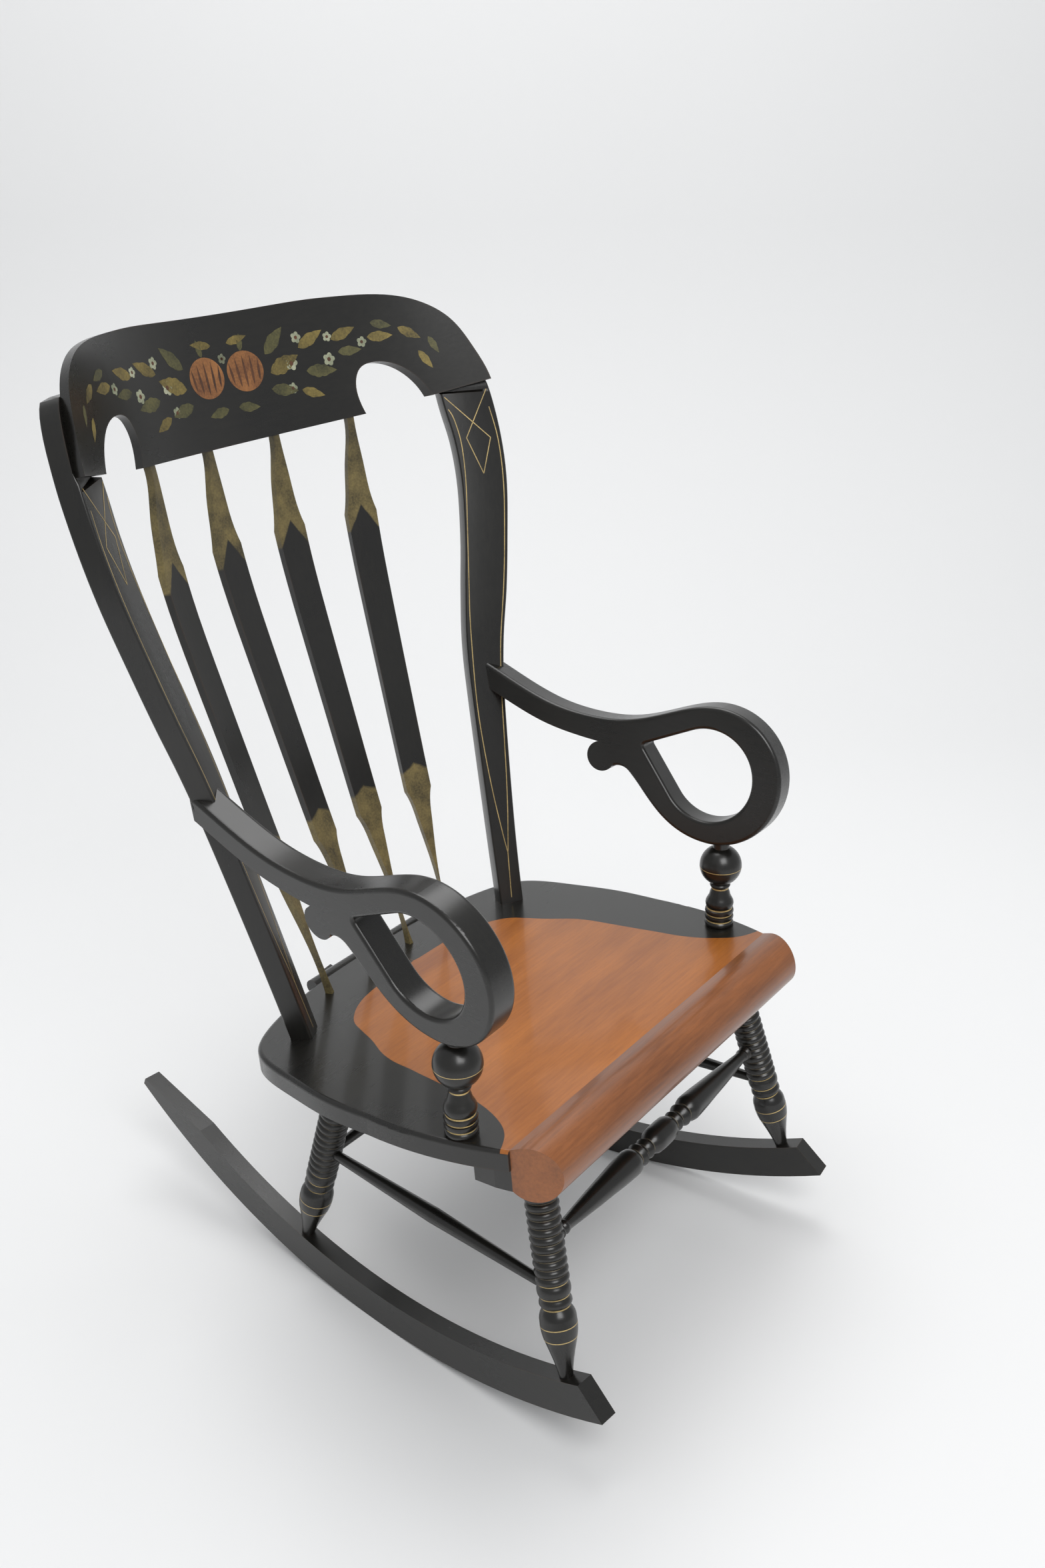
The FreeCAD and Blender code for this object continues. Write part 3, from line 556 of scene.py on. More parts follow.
def ribbon(sheaf: Sheaf, axes: Axes, path: Sequence[tuple[float, float]], width: float,
           lift: float = 0.12, flipped: bool = False) -> None:
    """Lays a flat painted line on a board's front face.

    Args:
        sheaf: The piece that takes the line.
        axes: The board's axes, whose back points into the board.
        path: The line's points, across and up the face, in millimetres.
        width: The line's width in millimetres.
        lift: How far the line stands off the face.
        flipped: Whether the axes are mirrored, which turns the faces round.
    """
    points: list[Vector] = []
    for i, (x, z) in enumerate(path):
        ahead = path[min(i + 1, len(path) - 1)]
        behind = path[max(i - 1, 0)]
        dx, dz = ahead[0] - behind[0], ahead[1] - behind[1]
        length = math.hypot(dx, dz) or 1.0
        nx, nz = -dz / length * width / 2.0, dx / length * width / 2.0
        points.append(axes.point(x + nx, -lift, z + nz))
        points.append(axes.point(x - nx, -lift, z - nz))
    faces = []
    for i in range(len(path) - 1):
        quad = (2 * i, 2 * i + 1, 2 * i + 3, 2 * i + 2)
        faces.append(tuple(reversed(quad)) if flipped else quad)
    sheaf.add(points, faces)


def smooth_path(points: Sequence[tuple[float, float]], steps: int = 6) -> list[tuple[float, float]]:
    """Rounds a path through its points.

    Args:
        points: The points to pass.
        steps: How many steps lie between two of them.

    Returns:
        The finer path.
    """
    fine: list[tuple[float, float]] = []
    last = len(points) - 1
    for i in range(last):
        p0, p1 = points[max(i - 1, 0)], points[i]
        p2, p3 = points[i + 1], points[min(i + 2, last)]
        for k in range(steps):
            t = k / steps
            fine.append(tuple(
                0.5 * (2 * b + (c - a) * t + (2 * a - 5 * b + 4 * c - d) * t * t
                       + (3 * b - a - 3 * c + d) * t ** 3)
                for a, b, c, d in zip(p0, p1, p2, p3)))
    fine.append(tuple(points[last]))
    return fine


def read_path(path: Sequence[tuple[float, float]], z: float) -> float:
    """Reads how far across a path is at a height.

    Args:
        path: Points across and up, rising.
        z: The height.

    Returns:
        The distance across.
    """
    for a, b in zip(path, path[1:]):
        if a[1] <= z <= b[1] and b[1] > a[1]:
            return a[0] + (b[0] - a[0]) * (z - a[1]) / (b[1] - a[1])
    return path[-1][0]


def rounded_section(left: float, right: float, front: float, back: float,
                    radius: float) -> list[tuple[float, float]]:
    """Gives a board's section with its four edges rounded.

    Args:
        left: Its one edge.
        right: Its other edge.
        front: Its front face.
        back: Its back face.
        radius: The rounding.

    Returns:
        The section's points, anticlockwise seen from above.
    """
    corners_at = ((right - radius, front + radius, -90.0), (right - radius, back - radius, 0.0),
                  (left + radius, back - radius, 90.0), (left + radius, front + radius, 180.0))
    section = []
    for x, y, begin in corners_at:
        for k in range(5):
            turn = math.radians(begin + 22.5 * k)
            section.append((x + radius * math.cos(turn), y + radius * math.sin(turn)))
    return section


@dataclass(frozen=True)
class Band:
    """One station of a turned profile: its distance from the start, its radius, its finish."""

    at: float
    radius: float
    mark: int = 0


@dataclass
class Turning:
    """A turned piece between two points, in millimetres."""

    name: str
    start: Vector
    end: Vector
    bands: list[Band]
    around: int = 56

    def build(self, materials: Sequence[bpy.types.Material], replaced: Sequence[str],
              side: Side = Side.LEFT) -> bpy.types.Object:
        """Spins the profile about the line from start to end.

        Args:
            materials: The piece's materials, by mark.
            replaced: The CAD nodes that it stands for.
            side: The side of the chair that it is on.

        Returns:
            The piece.
        """
        way = (self.end - self.start).normalized()
        across = way.orthogonal().normalized()
        third = way.cross(across)
        points: list[Vector] = []
        for band in self.bands:
            centre = self.start + way * band.at
            for k in range(self.around):
                turn = math.tau * k / self.around
                spot = centre + (across * math.cos(turn) + third * math.sin(turn)) * band.radius
                points.append(side.place(spot) * MM)
        sheaf = Sheaf(self.name)
        sheaf.add_tube(points, self.around, [band.mark for band in self.bands[:-1]], side)
        return sheaf.build(materials, "black_lacquer", sharp_deg=34.0, replaced=replaced)


def stations(start: float, rows: Iterable[tuple[float, ...]]) -> list[Band]:
    """Makes stations from rows of distance, radius and, where it isn't 0, material number."""
    return [Band(start + row[0], *row[1:]) for row in rows]


def sphere_bands(centre: float, radius: float, low: float, high: float, count: int) -> list[Band]:
    """Gives the stations of a ball.

    Args:
        centre: Where its middle is along the piece.
        radius: Its radius.
        low: The share of the radius below the middle where it starts.
        high: The share of the radius above the middle where it ends.
        count: How many stations there are.

    Returns:
        The stations.
    """
    first, last = -math.asin(low), math.asin(high)
    turns = [first + (last - first) * k / (count - 1) for k in range(count)]
    return [Band(centre + radius * math.sin(t), radius * math.cos(t)) for t in turns]


def gold_line(bands: list[Band], at: float, width: float) -> list[Band]:
    """Paints a thin line round a turned profile.

    Args:
        bands: The profile, in order.
        at: Where the line's middle is.
        width: How wide it is.

    Returns:
        The profile with the line's stations.
    """
    def radius_at(z: float) -> float:
        """Reads the profile's radius at a station."""
        for a, b in zip(bands, bands[1:]):
            if a.at <= z <= b.at and b.at > a.at:
                return a.radius + (b.radius - a.radius) * (z - a.at) / (b.at - a.at)
        return bands[-1].radius

    low, high = at - width / 2.0, at + width / 2.0
    kept = [b for b in bands if b.at < low or b.at > high]
    before = [b for b in kept if b.at < low]
    after = [b for b in kept if b.at > high]
    start = Band(low, radius_at(low) + 0.1, 1)
    stop = Band(high, radius_at(high) + 0.1, before[-1].mark if before else 0)
    return before + [start, Band(at, radius_at(at) + 0.15, 1), stop] + after


@dataclass
class Palette:
    """The chair's shared finishes."""

    lines: bpy.types.Material
    groove: bpy.types.Material
    upright: bpy.types.Material
    across: bpy.types.Material
    along: bpy.types.Material

    @classmethod
    def mixed(cls) -> Palette:
        """Mixes the shared finishes."""
        return cls(
            lines=Bronze(light=(0.62, 0.46, 0.19), dark=(0.30, 0.22, 0.09),
                         metal=0.25).material("gold_line"),
            groove=Bronze(light=(0.15, 0.125, 0.08), dark=(0.035, 0.03, 0.022),
                          metal=0.15, shift=4.0).material("rubbed_groove_line"),
            upright=Lacquer(Grain.UPRIGHT).material("lacquer_upright"),
            across=Lacquer(Grain.ACROSS, 1.3).material("lacquer_across"),
            along=Lacquer(Grain.ALONG, 2.1).material("lacquer_along"))


def dress(frame: dict, node: str, material: bpy.types.Material) -> None:
    """Gives a CAD node its finish.

    Args:
        frame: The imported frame.
        node: The node's name.
        material: The finish.
    """
    mesh = frame["nodes"][node].data
    mesh.materials.clear()
    mesh.materials.append(material)
    LOG.info("node %s: %s", node, material.name)


@dataclass
class Seat:
    """The plank seat with its wood field and black border, and its two rolls."""

    height: float = 356.8
    pitch_deg: float = 5.4
    joint: float = -230.0
    rim: tuple[tuple[float, float], ...] = (
        (-236.0, 300.0), (-224.4, 276.0), (-218.4, 260.0), (-207.4, 242.0), (-189.4, 228.0),
        (-154.4, 213.0), (-104.4, 205.0), (-54.4, 198.0), (-4.4, 190.0), (35.6, 170.0),
        (60.0, 160.0), (78.0, 151.0), (93.0, 134.0), (104.0, 112.0), (110.0, 88.0),
        (113.0, 60.0), (114.5, 0.0), (125.0, 0.0))

    def axes(self) -> Axes:
        """Gives the axes of the seat's top face."""
        pitch = math.radians(self.pitch_deg)
        return Axes(Vector((0, 0, self.height)), Vector((1, 0, 0)),
                    Vector((0, math.cos(pitch), -math.sin(pitch))),
                    Vector((0, math.sin(pitch), math.cos(pitch))))

    def top_at(self, y: float) -> float:
        """Gives the height of the seat's top face at a front-to-back position."""
        return self.height - y * math.tan(math.radians(self.pitch_deg))

    def painted_plank(self) -> bpy.types.Material:
        """Paints the border round the wood field.

        Returns:
            The plank's material.
        """
        graph = Graph("seat_field_and_border")
        axes = self.axes()
        x = abs(graph.along(axes, axes.out))
        y = graph.along(axes, axes.back)
        low, high, wide = -0.236, 0.125, 0.3
        curve = [((a * MM - low) / (high - low), b * MM / wide) for a, b in self.rim]
        share = (y - low) / (high - low)
        edge = Value(graph, graph.node("ShaderNodeFloatCurve", {"curve": curve}, {
            "Value": share}).outputs[0]) * wide
        wobble = (graph.noise(30.0) - 0.5) * 0.0012
        inside = ((edge - x + wobble) / 0.0009 + 0.5).clamped()
        geometry = graph.node("ShaderNodeNewGeometry")
        facing = graph.node("ShaderNodeVectorMath", {"operation": "DOT_PRODUCT"}, {
            0: Value(graph, geometry.outputs["Normal"]), 1: tuple(axes.up)})
        upward = ((Value(graph, facing.outputs["Value"]) - 0.25) * 6.0).clamped()
        layer = Timber().layer(graph).over(
            graph, inside * upward, Lacquer(Grain.ACROSS, 0.4, 0.6).layer(graph))
        return graph.finish(layer, coat=0.3, coat_roughness=0.1, bump=0.16)

    def build(self, frame: dict, palette: Palette) -> None:
        """Dresses the plank and the rolls.

        Args:
            frame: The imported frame.
            palette: The shared finishes.
        """
        dress(frame, "seat_plank", self.painted_plank())
        roll = Timber(light=(0.300, 0.098, 0.024), dark=(0.125, 0.038, 0.010), shift=3.0)
        graph = Graph("front_roll_wood")
        ahead = (((self.joint + 0.4) * MM - graph.along(self.axes(), self.axes().back))
                 / 0.0006 + 0.5).clamped()
        layer = roll.layer(graph).over(graph, ahead, Lacquer(Grain.ACROSS, 0.9).layer(graph))
        dress(frame, "seat_front_roll",
              graph.finish(layer, coat=0.3, coat_roughness=0.12, bump=0.16))
        dress(frame, "seat_rear_roll", palette.across)


@dataclass
class Back:
    """The crest rail, the two posts with their striping, and the four arrow slats."""

    seat: Seat
    crest_rise: float = 600.7
    crest_y: float = 348.0
    crest_lean_deg: float = 15.0
    crest_bend: float = 478.0
    post_cant_deg: float = 33.0
    post_lean_deg: float = 16.1
    post_foot: Point = (174.5, 106.3, 326.75)
    line_width: float = 1.1
    outer_slat: Point = (110.8, 148.0, 157.7)
    inner_slat: Point = (33.5, 146.2, 52.8)
    kink_low: float = 164.0
    kink_high: float = 500.0
    inset: float = 1.6
    crest_thick: float = 12.0
    post_thick: float = 25.0
    post_round: float = 2.5
    lap_along: float = 259.0
    lap_height: float = 4.0
    lap_run: float = 15.5
    lap_clear: float = 0.2
    post_inner: tuple[tuple[float, float], ...] = (
        (0.0, 0.0), (-4.5, 124.0), (-9.5, 287.0), (-10.1, 365.0), (-4.5, 434.0), (2.4, 497.0),
        (6.0, 566.0), (2.1, 621.0), (-9.1, 675.0), (-24.0, 776.0))
    post_outer: tuple[tuple[float, float], ...] = (
        (31.0, 0.0), (30.0, 124.0), (34.0, 287.0), (40.4, 365.0), (52.0, 434.0), (59.9, 497.0),
        (66.5, 566.0), (65.1, 621.0), (57.0, 675.0), (46.0, 712.0), (35.0, 738.0), (21.0, 758.0),
        (4.0, 770.0))

    def crest_axes(self) -> Axes:
        """Gives the axes of the crest rail."""
        lean = math.radians(self.crest_lean_deg)
        return Axes(Vector((0, self.crest_y, self.seat.height + self.crest_rise)),
                    Vector((1, 0, 0)), Vector((0, math.cos(lean), -math.sin(lean))),
                    Vector((0, math.sin(lean), math.cos(lean))))

    def post_axes(self) -> Axes:
        """Gives the axes of the left post's front face.

        Returns:
            The axes, with back leading into the board.
        """
        cant, lean = math.radians(self.post_cant_deg), math.radians(self.post_lean_deg)
        behind = Vector((math.sin(cant), math.cos(cant), 0))
        up = behind * math.sin(lean) + Vector((0, 0, math.cos(lean)))
        back = behind * math.cos(lean) - Vector((0, 0, math.sin(lean)))
        return Axes(Vector(self.post_foot), Vector((math.cos(cant), -math.sin(cant), 0)), back, up)

    def behind_crest(self, axes: Axes, x: float, y: float, z: float) -> float:
        """Keeps a point of a post clear of the crest rail that laps over it.

        Args:
            axes: The left post's axes.
            x: The point's place across the post, in millimetres.
            y: Its depth.
            z: Its height.

        Returns:
            The depth at which it lies behind the rail.
        """
        crest = self.crest_axes()
        away = axes.point(x, y, z) / MM - crest.origin
        along, height = away.dot(crest.out), away.dot(crest.up)
        edge = self.lap_height + (along - self.lap_along) / self.lap_run
        if height < edge - self.lap_clear:
            return y
        reach = math.hypot(along, away.dot(crest.back) + self.crest_bend)
        return max(y, y + self.crest_bend + self.crest_thick + self.lap_clear - reach)

    def post(self, side: Side, palette: Palette) -> None:
        """Saws one back post to its curved outline, its head tucked behind the crest.

        Args:
            side: The side of the chair.
            palette: The shared finishes.
        """
        axes = self.post_axes()
        inner = smooth_path(self.post_inner, 24)
        outer = smooth_path(self.post_outer, 24)
        heights = [12.0 * k for k in range(54)] + [648.0 + 3.0 * k for k in range(15)]
        heights += [700.0, 712.0, 724.0, 736.0, 746.0, 755.0, 762.0, 767.0]
        points: list[Vector] = []
        for z in heights:
            section = rounded_section(read_path(inner, z), read_path(outer, z),
                                      0.0, self.post_thick, self.post_round)
            for x, y in section:
                deep = y if y > 0.6 * self.post_thick else self.behind_crest(axes, x, y, z)
                points.append(side.place(axes.point(x, min(deep, self.post_thick), z)))
        sheaf = Sheaf(f"{side.word}_sawn_back_post")
        sheaf.add_tube(points, len(points) // len(heights), [0] * (len(heights) - 1), side)
        sheaf.build([palette.upright], "black_lacquer", sharp_deg=35.0,
                    replaced=[f"{side.word}_back_post"])

    def slat_axes(self, slat: Point) -> tuple[Axes, float]:
        """Gives a slat's axes and its span.

        Args:
            slat: Its foot's x and y and its head's x.

        Returns:
            The axes and the distance from the seat to the crest.
        """
        foot_x, foot_y, head_x = slat
        side = math.sqrt(self.crest_bend ** 2 - head_x ** 2) - self.crest_bend
        lean = math.radians(self.crest_lean_deg)
        base = Vector((foot_x, foot_y, self.seat.top_at(foot_y)))
        top = Vector((head_x, self.crest_y + side / math.cos(lean) + self.inset,
                      self.seat.height + self.crest_rise))
        up = top - base
        span = up.length
        up.normalize()
        turn = math.asin(head_x / self.crest_bend)
        back = up.cross(Vector((math.cos(turn), -math.sin(turn), 0))).normalized()
        return Axes(base, back.cross(up), back, up), span

    def slat_finish(self, name: str, axes: Axes, span: float, shift: float) -> bpy.types.Material:
        """Paints a slat: black, with bronze tips above and below.

        Args:
            name: The material's name.
            axes: The slat's axes.
            span: The slat's length.
            shift: A shift of the textures.

        Returns:
            The material.
        """
        graph = Graph(name)
        x = abs(graph.along(axes, axes.out)) / MM
        z = graph.along(axes, axes.up) / MM
        high = self.kink_high * span / self.crest_rise
        low = self.kink_low * span / self.crest_rise
        brush = (graph.noise(60.0, shift=shift) - 0.5) * 5.0
        above = ((z - (high + 9.0) + x * 1.5 + brush) / 3.0 + 0.5).clamped()
        below = (((low + 34.0) - z + brush - x * 0.5) / 4.0 + 0.5).clamped()
        fade = 1.0 - ((z / span - 0.93) * 12.0).clamped() * 0.5
        mask = ((above + below) * fade).clamped() * (0.72 + graph.noise(90.0, detail=4.0) * 0.4)
        bronze = Bronze(light=(0.230, 0.178, 0.066), dark=(0.062, 0.050, 0.024),
                        metal=0.3, shift=shift)
        layer = bronze.layer(graph).over(
            graph, mask.clamped(), Lacquer(Grain.UPRIGHT, shift, 0.7).layer(graph))
        return graph.finish(layer, coat=0.18, coat_roughness=0.22, bump=0.25)

    def striping(self, side: Side, palette: Palette) -> None:
        """Lays the gold lines on a post's front face.

        Args:
            side: The side of the chair.
            palette: The shared finishes.
        """
        axes = self.post_axes()
        flipped = side is Side.RIGHT
        if flipped:
            axes = axes.mirrored()
        sheaf = Sheaf(f"{side.word}_post_striping")
        inner = [(-2.5, 662.0), (3.5, 650.0), (9.6, 623.0), (11.2, 590.0), (10.0, 557.0),
                 (7.3, 523.0), (0.8, 443.0), (-3.0, 392.0), (-5.2, 302.0), (-2.6, 240.0),
                 (3.6, 173.0), (11.6, 114.0), (15.6, 90.0)]
        outer = [(51.5, 662.0), (59.5, 621.0), (61.0, 566.0), (55.0, 497.0), (47.0, 435.0),
                 (35.5, 365.0), (30.0, 302.0), (27.0, 240.0), (24.6, 190.0), (21.6, 146.0),
                 (18.0, 108.0), (16.2, 90.0)]
        stem = [(15.9, 91.0), (15.2, 60.0), (14.6, 28.0)]
        for path in (inner, outer, stem):
            ribbon(sheaf, axes, smooth_path(path), self.line_width, flipped=flipped)
        a, b, c, d, e = (-6.0, 677.0), (49.6, 623.7), (50.0, 684.0), (17.6, 625.4), (35.8, 579.8)
        for path in ((a, b), (c, d), (b, e), (d, e)):
            ribbon(sheaf, axes, path, self.line_width, lift=0.2, flipped=flipped)
        sheaf.build([palette.lines], "black_lacquer", smooth=False)

    def build(self, frame: dict, palette: Palette) -> None:
        """Dresses the back.

        Args:
            frame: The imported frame.
            palette: The shared finishes.
        """
        dress(frame, "crest_rail", palette.across)
        for side in Side:
            self.post(side, palette)
            self.striping(side, palette)
            for kind, slat in (("outer", self.outer_slat), ("inner", self.inner_slat)):
                axes, span = self.slat_axes(slat)
                if side is Side.RIGHT:
                    axes = axes.mirrored()
                node = f"{side.word}_{kind}_slat"
                shift = 2.0 * side.value + (0.7 if kind == "outer" else 1.9)
                dress(frame, node, self.slat_finish(f"{node}_paint", axes, span, shift))


@dataclass
class Stencil:
    """A band of generic fruit, leaf and flower stencil shapes on the crest's front face."""

    back: Back
    lift: float = 0.15
    shade_lift: float = 0.12

    def on_crest(self, x: float, z: float, extra: float = 0.0) -> Vector:
        """Places a point of the flat drawing on the bent face.

        Args:
            x: Distance along the rail from its middle, in millimetres.
            z: Height above the rail's lower edge.
            extra: How far above the first coat it lies.

        Returns:
            The point in metres.
        """
        bend = self.back.crest_bend - self.lift - extra
        swing = x / self.back.crest_bend
        axes = self.back.crest_axes()
        return axes.point(bend * math.sin(swing), bend * math.cos(swing) - self.back.crest_bend, z)

    def shape(self, sheaf: Sheaf, outline: Sequence[tuple[float, float]], mark: int) -> None:
        """Fills a star-shaped outline with rings of faces.

        Args:
            sheaf: The piece that takes the shape.
            outline: The outline's points, along the rail and up, in order round the shape.
            mark: The number of its material.
        """
        cx = sum(p[0] for p in outline) / len(outline)
        cz = sum(p[1] for p in outline) / len(outline)
        n = len(outline)
        shares = (1.0, 0.66, 0.33)
        extra = self.shade_lift if mark == SHADE else 0.0
        points = [self.on_crest(cx + (x - cx) * s, cz + (z - cz) * s, extra)
                  for s in shares for x, z in outline]
        points.append(self.on_crest(cx, cz, extra))
        faces: list[tuple[int, ...]] = []
        for ring in range(len(shares) - 1):
            for k in range(n):
                a, b = ring * n + k, ring * n + (k + 1) % n
                faces.append((a, b, b + n, a + n))
        last = (len(shares) - 1) * n
        faces += [(last + k, last + (k + 1) % n, len(points) - 1) for k in range(n)]
        sheaf.add(points, faces, mark)

    def leaf(self, sheaf: Sheaf, x: float, z: float, length: float, width: float, turn_deg: float,
             mark: int, notches: int = 0) -> None:
        """Adds a pointed leaf.

        Args:
            sheaf: The piece that takes it.
            x: Its foot's place along the rail.
            z: Its foot's height.
            length: Its length.
            width: Its width.
            turn_deg: The way it points, 0 along the rail and 90 upwards.
            mark: The number of its material.
            notches: How many teeth each side has.
        """
        turn = math.radians(turn_deg)
        sides: list[tuple[float, float]] = []
        count = 16
        for sign in (-1, 1):
            row = []
            for k in range(count + 1):
                t = k / count
                wide = math.sin(math.pi * t ** 0.8) * width / 2.0
                if notches:
                    wide *= 0.84 + 0.16 * abs(math.sin(math.pi * notches * t))
                row.append((t * length, sign * wide))
            sides += row if sign < 0 else list(reversed(row))[1:-1]
        outline = [(x + u * math.cos(turn) - v * math.sin(turn),
                    z + u * math.sin(turn) + v * math.cos(turn)) for u, v in sides]
        self.shape(sheaf, outline, mark)

    def disc(self, sheaf: Sheaf, x: float, z: float, wide: float, tall: float, mark: int,
             petals: int = 0) -> None:
        """Adds a round fruit or a flower.

        Args:
            sheaf: The piece that takes it.
            x: Its middle's place along the rail.
            z: Its middle's height.
            wide: Half its width.
            tall: Half its height.
            mark: The number of its material.
            petals: How many petals it has; none gives a plain round.
        """
        outline = []
        for k in range(40):
            turn = math.tau * k / 40
            swell = 1.0 if not petals else 0.70 + 0.30 * abs(math.cos(petals * turn / 2.0))
            outline.append((x + wide * swell * math.cos(turn), z + tall * swell * math.sin(turn)))
        self.shape(sheaf, outline, mark)

    def build(self) -> None:
        """Lays out the band: fruit in the middle, leaves and small flowers to both sides."""
        sheaf = Sheaf("crest_stencil")
        for x, lean in ((-30.0, 100.0), (30.0, 80.0)):
            self.disc(sheaf, x, 78.0, 27.0, 23.0, ORANGE)
            for k in range(-2, 3):
                self.leaf(sheaf, x + 9.5 * k, 59.0 + 1.6 * k * k, 38.0 - 3.2 * k * k, 3.6,
                          90.0 - 3.0 * k, SHADE)
            self.leaf(sheaf, x, 101.0, 20.0, 9.0, lean, OLIVE, 3)
        for side in (-1.0, 1.0):
            for x, z, length, width, angle, mark, notches in LEAVES:
                turned = angle if side > 0 else 180.0 - angle
                self.leaf(sheaf, side * x, z, length, width, turned, mark, notches)
            for x, z, size in FLOWERS:
                self.disc(sheaf, side * x, z, size, size, PALE, 5)
                self.disc(sheaf, side * x, z, size * 0.3, size * 0.3, SHADE)
        sheaf.build([
            Bronze(light=(0.25, 0.19, 0.055), dark=(0.075, 0.06, 0.024)).material("stencil_gold"),
            Bronze(light=(0.34, 0.145, 0.045), dark=(0.13, 0.05, 0.02), metal=0.15,
                   shift=2.0).material("stencil_orange"),
            Bronze(light=(0.12, 0.11, 0.04), dark=(0.036, 0.036, 0.018), metal=0.2,
                   shift=5.0).material("stencil_olive"),
            Bronze(light=(0.40, 0.41, 0.29), dark=(0.16, 0.18, 0.11), metal=0.05,
                   shift=7.0).material("stencil_pale"),
            Bronze(light=(0.12, 0.045, 0.018), dark=(0.04, 0.018, 0.010), metal=0.1,
                   shift=9.0).material("stencil_shade")], "black_lacquer", smooth=False)


@dataclass
class Arms:
    """The two scroll arms and their turned posts with a ball."""

    post_from: Point = (262.0, -167.4, 372.624)
    post_to: Point = (262.987, -163.723, 485.512)
    base: float = 17.0
    neck: float = 12.0
    ball: float = 26.0
    ball_drop: float = 30.5
    tenon: float = 9.0

    def profile(self, rise: float) -> list[Band]:
        """Gives the arm post's profile.

        Args:
            rise: The distance from the seat to the arm.

        Returns:
            The stations.
        """
        at = rise - self.ball_drop
        base, neck = self.base, self.neck
        rows: list[tuple[float, ...]] = [
            (-TENON_IN, self.tenon), (0.0, self.tenon), (0.0, base - 0.6), (1.0, base + 0.3),
            (2.2, base + 0.9), (4.6, base + 0.9), (6.0, base + 0.2)]
        for groove, crown in ((8.0, 12.2), (16.2, 20.2)):
            rows += [(groove - 0.9, base - 1.0, 1), (groove, base - 1.3, 1),
                     (groove + 0.9, base - 1.0), (crown - 2.4, base + 0.4), (crown, base + 1.0),
                     (crown + 2.4, base + 0.4)]
        rows += [(23.6, base - 1.1, 1), (24.6, base - 1.4, 1), (25.6, base - 1.0),
                 (28.0, base + 0.1), (31.0, base + 0.6), (34.0, base + 0.1), (38.0, base - 1.9),
                 (42.0, base - 4.0), (46.0, neck + 0.3), (49.0, neck - 1.0),
                 (50.6, neck - 1.4, 1), (52.4, neck - 1.4), (54.0, neck + 0.3),
                 (55.6, neck + 0.8), (57.2, neck + 0.2), (58.4, neck - 1.0)]
        bands = stations(0.0, rows) + sphere_bands(at, self.ball, 0.90, 0.92, 25)
        bands.append(Band(rise + TENON_IN, neck - 2.0))
        return gold_line(bands, at - 1.5, 0.9)

    def build(self, frame: dict, palette: Palette) -> None:
        """Dresses the arms and turns their posts.

        Args:
            frame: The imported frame.
            palette: The shared finishes.
        """
        start, end = Vector(self.post_from), Vector(self.post_to)
        bands = self.profile((end - start).length)
        for side in Side:
            dress(frame, f"{side.word}_arm", palette.along)
            Turning(f"{side.word}_turned_arm_post", start, end, bands, 64).build(
                [palette.upright, palette.lines], [f"{side.word}_arm_post"], side)


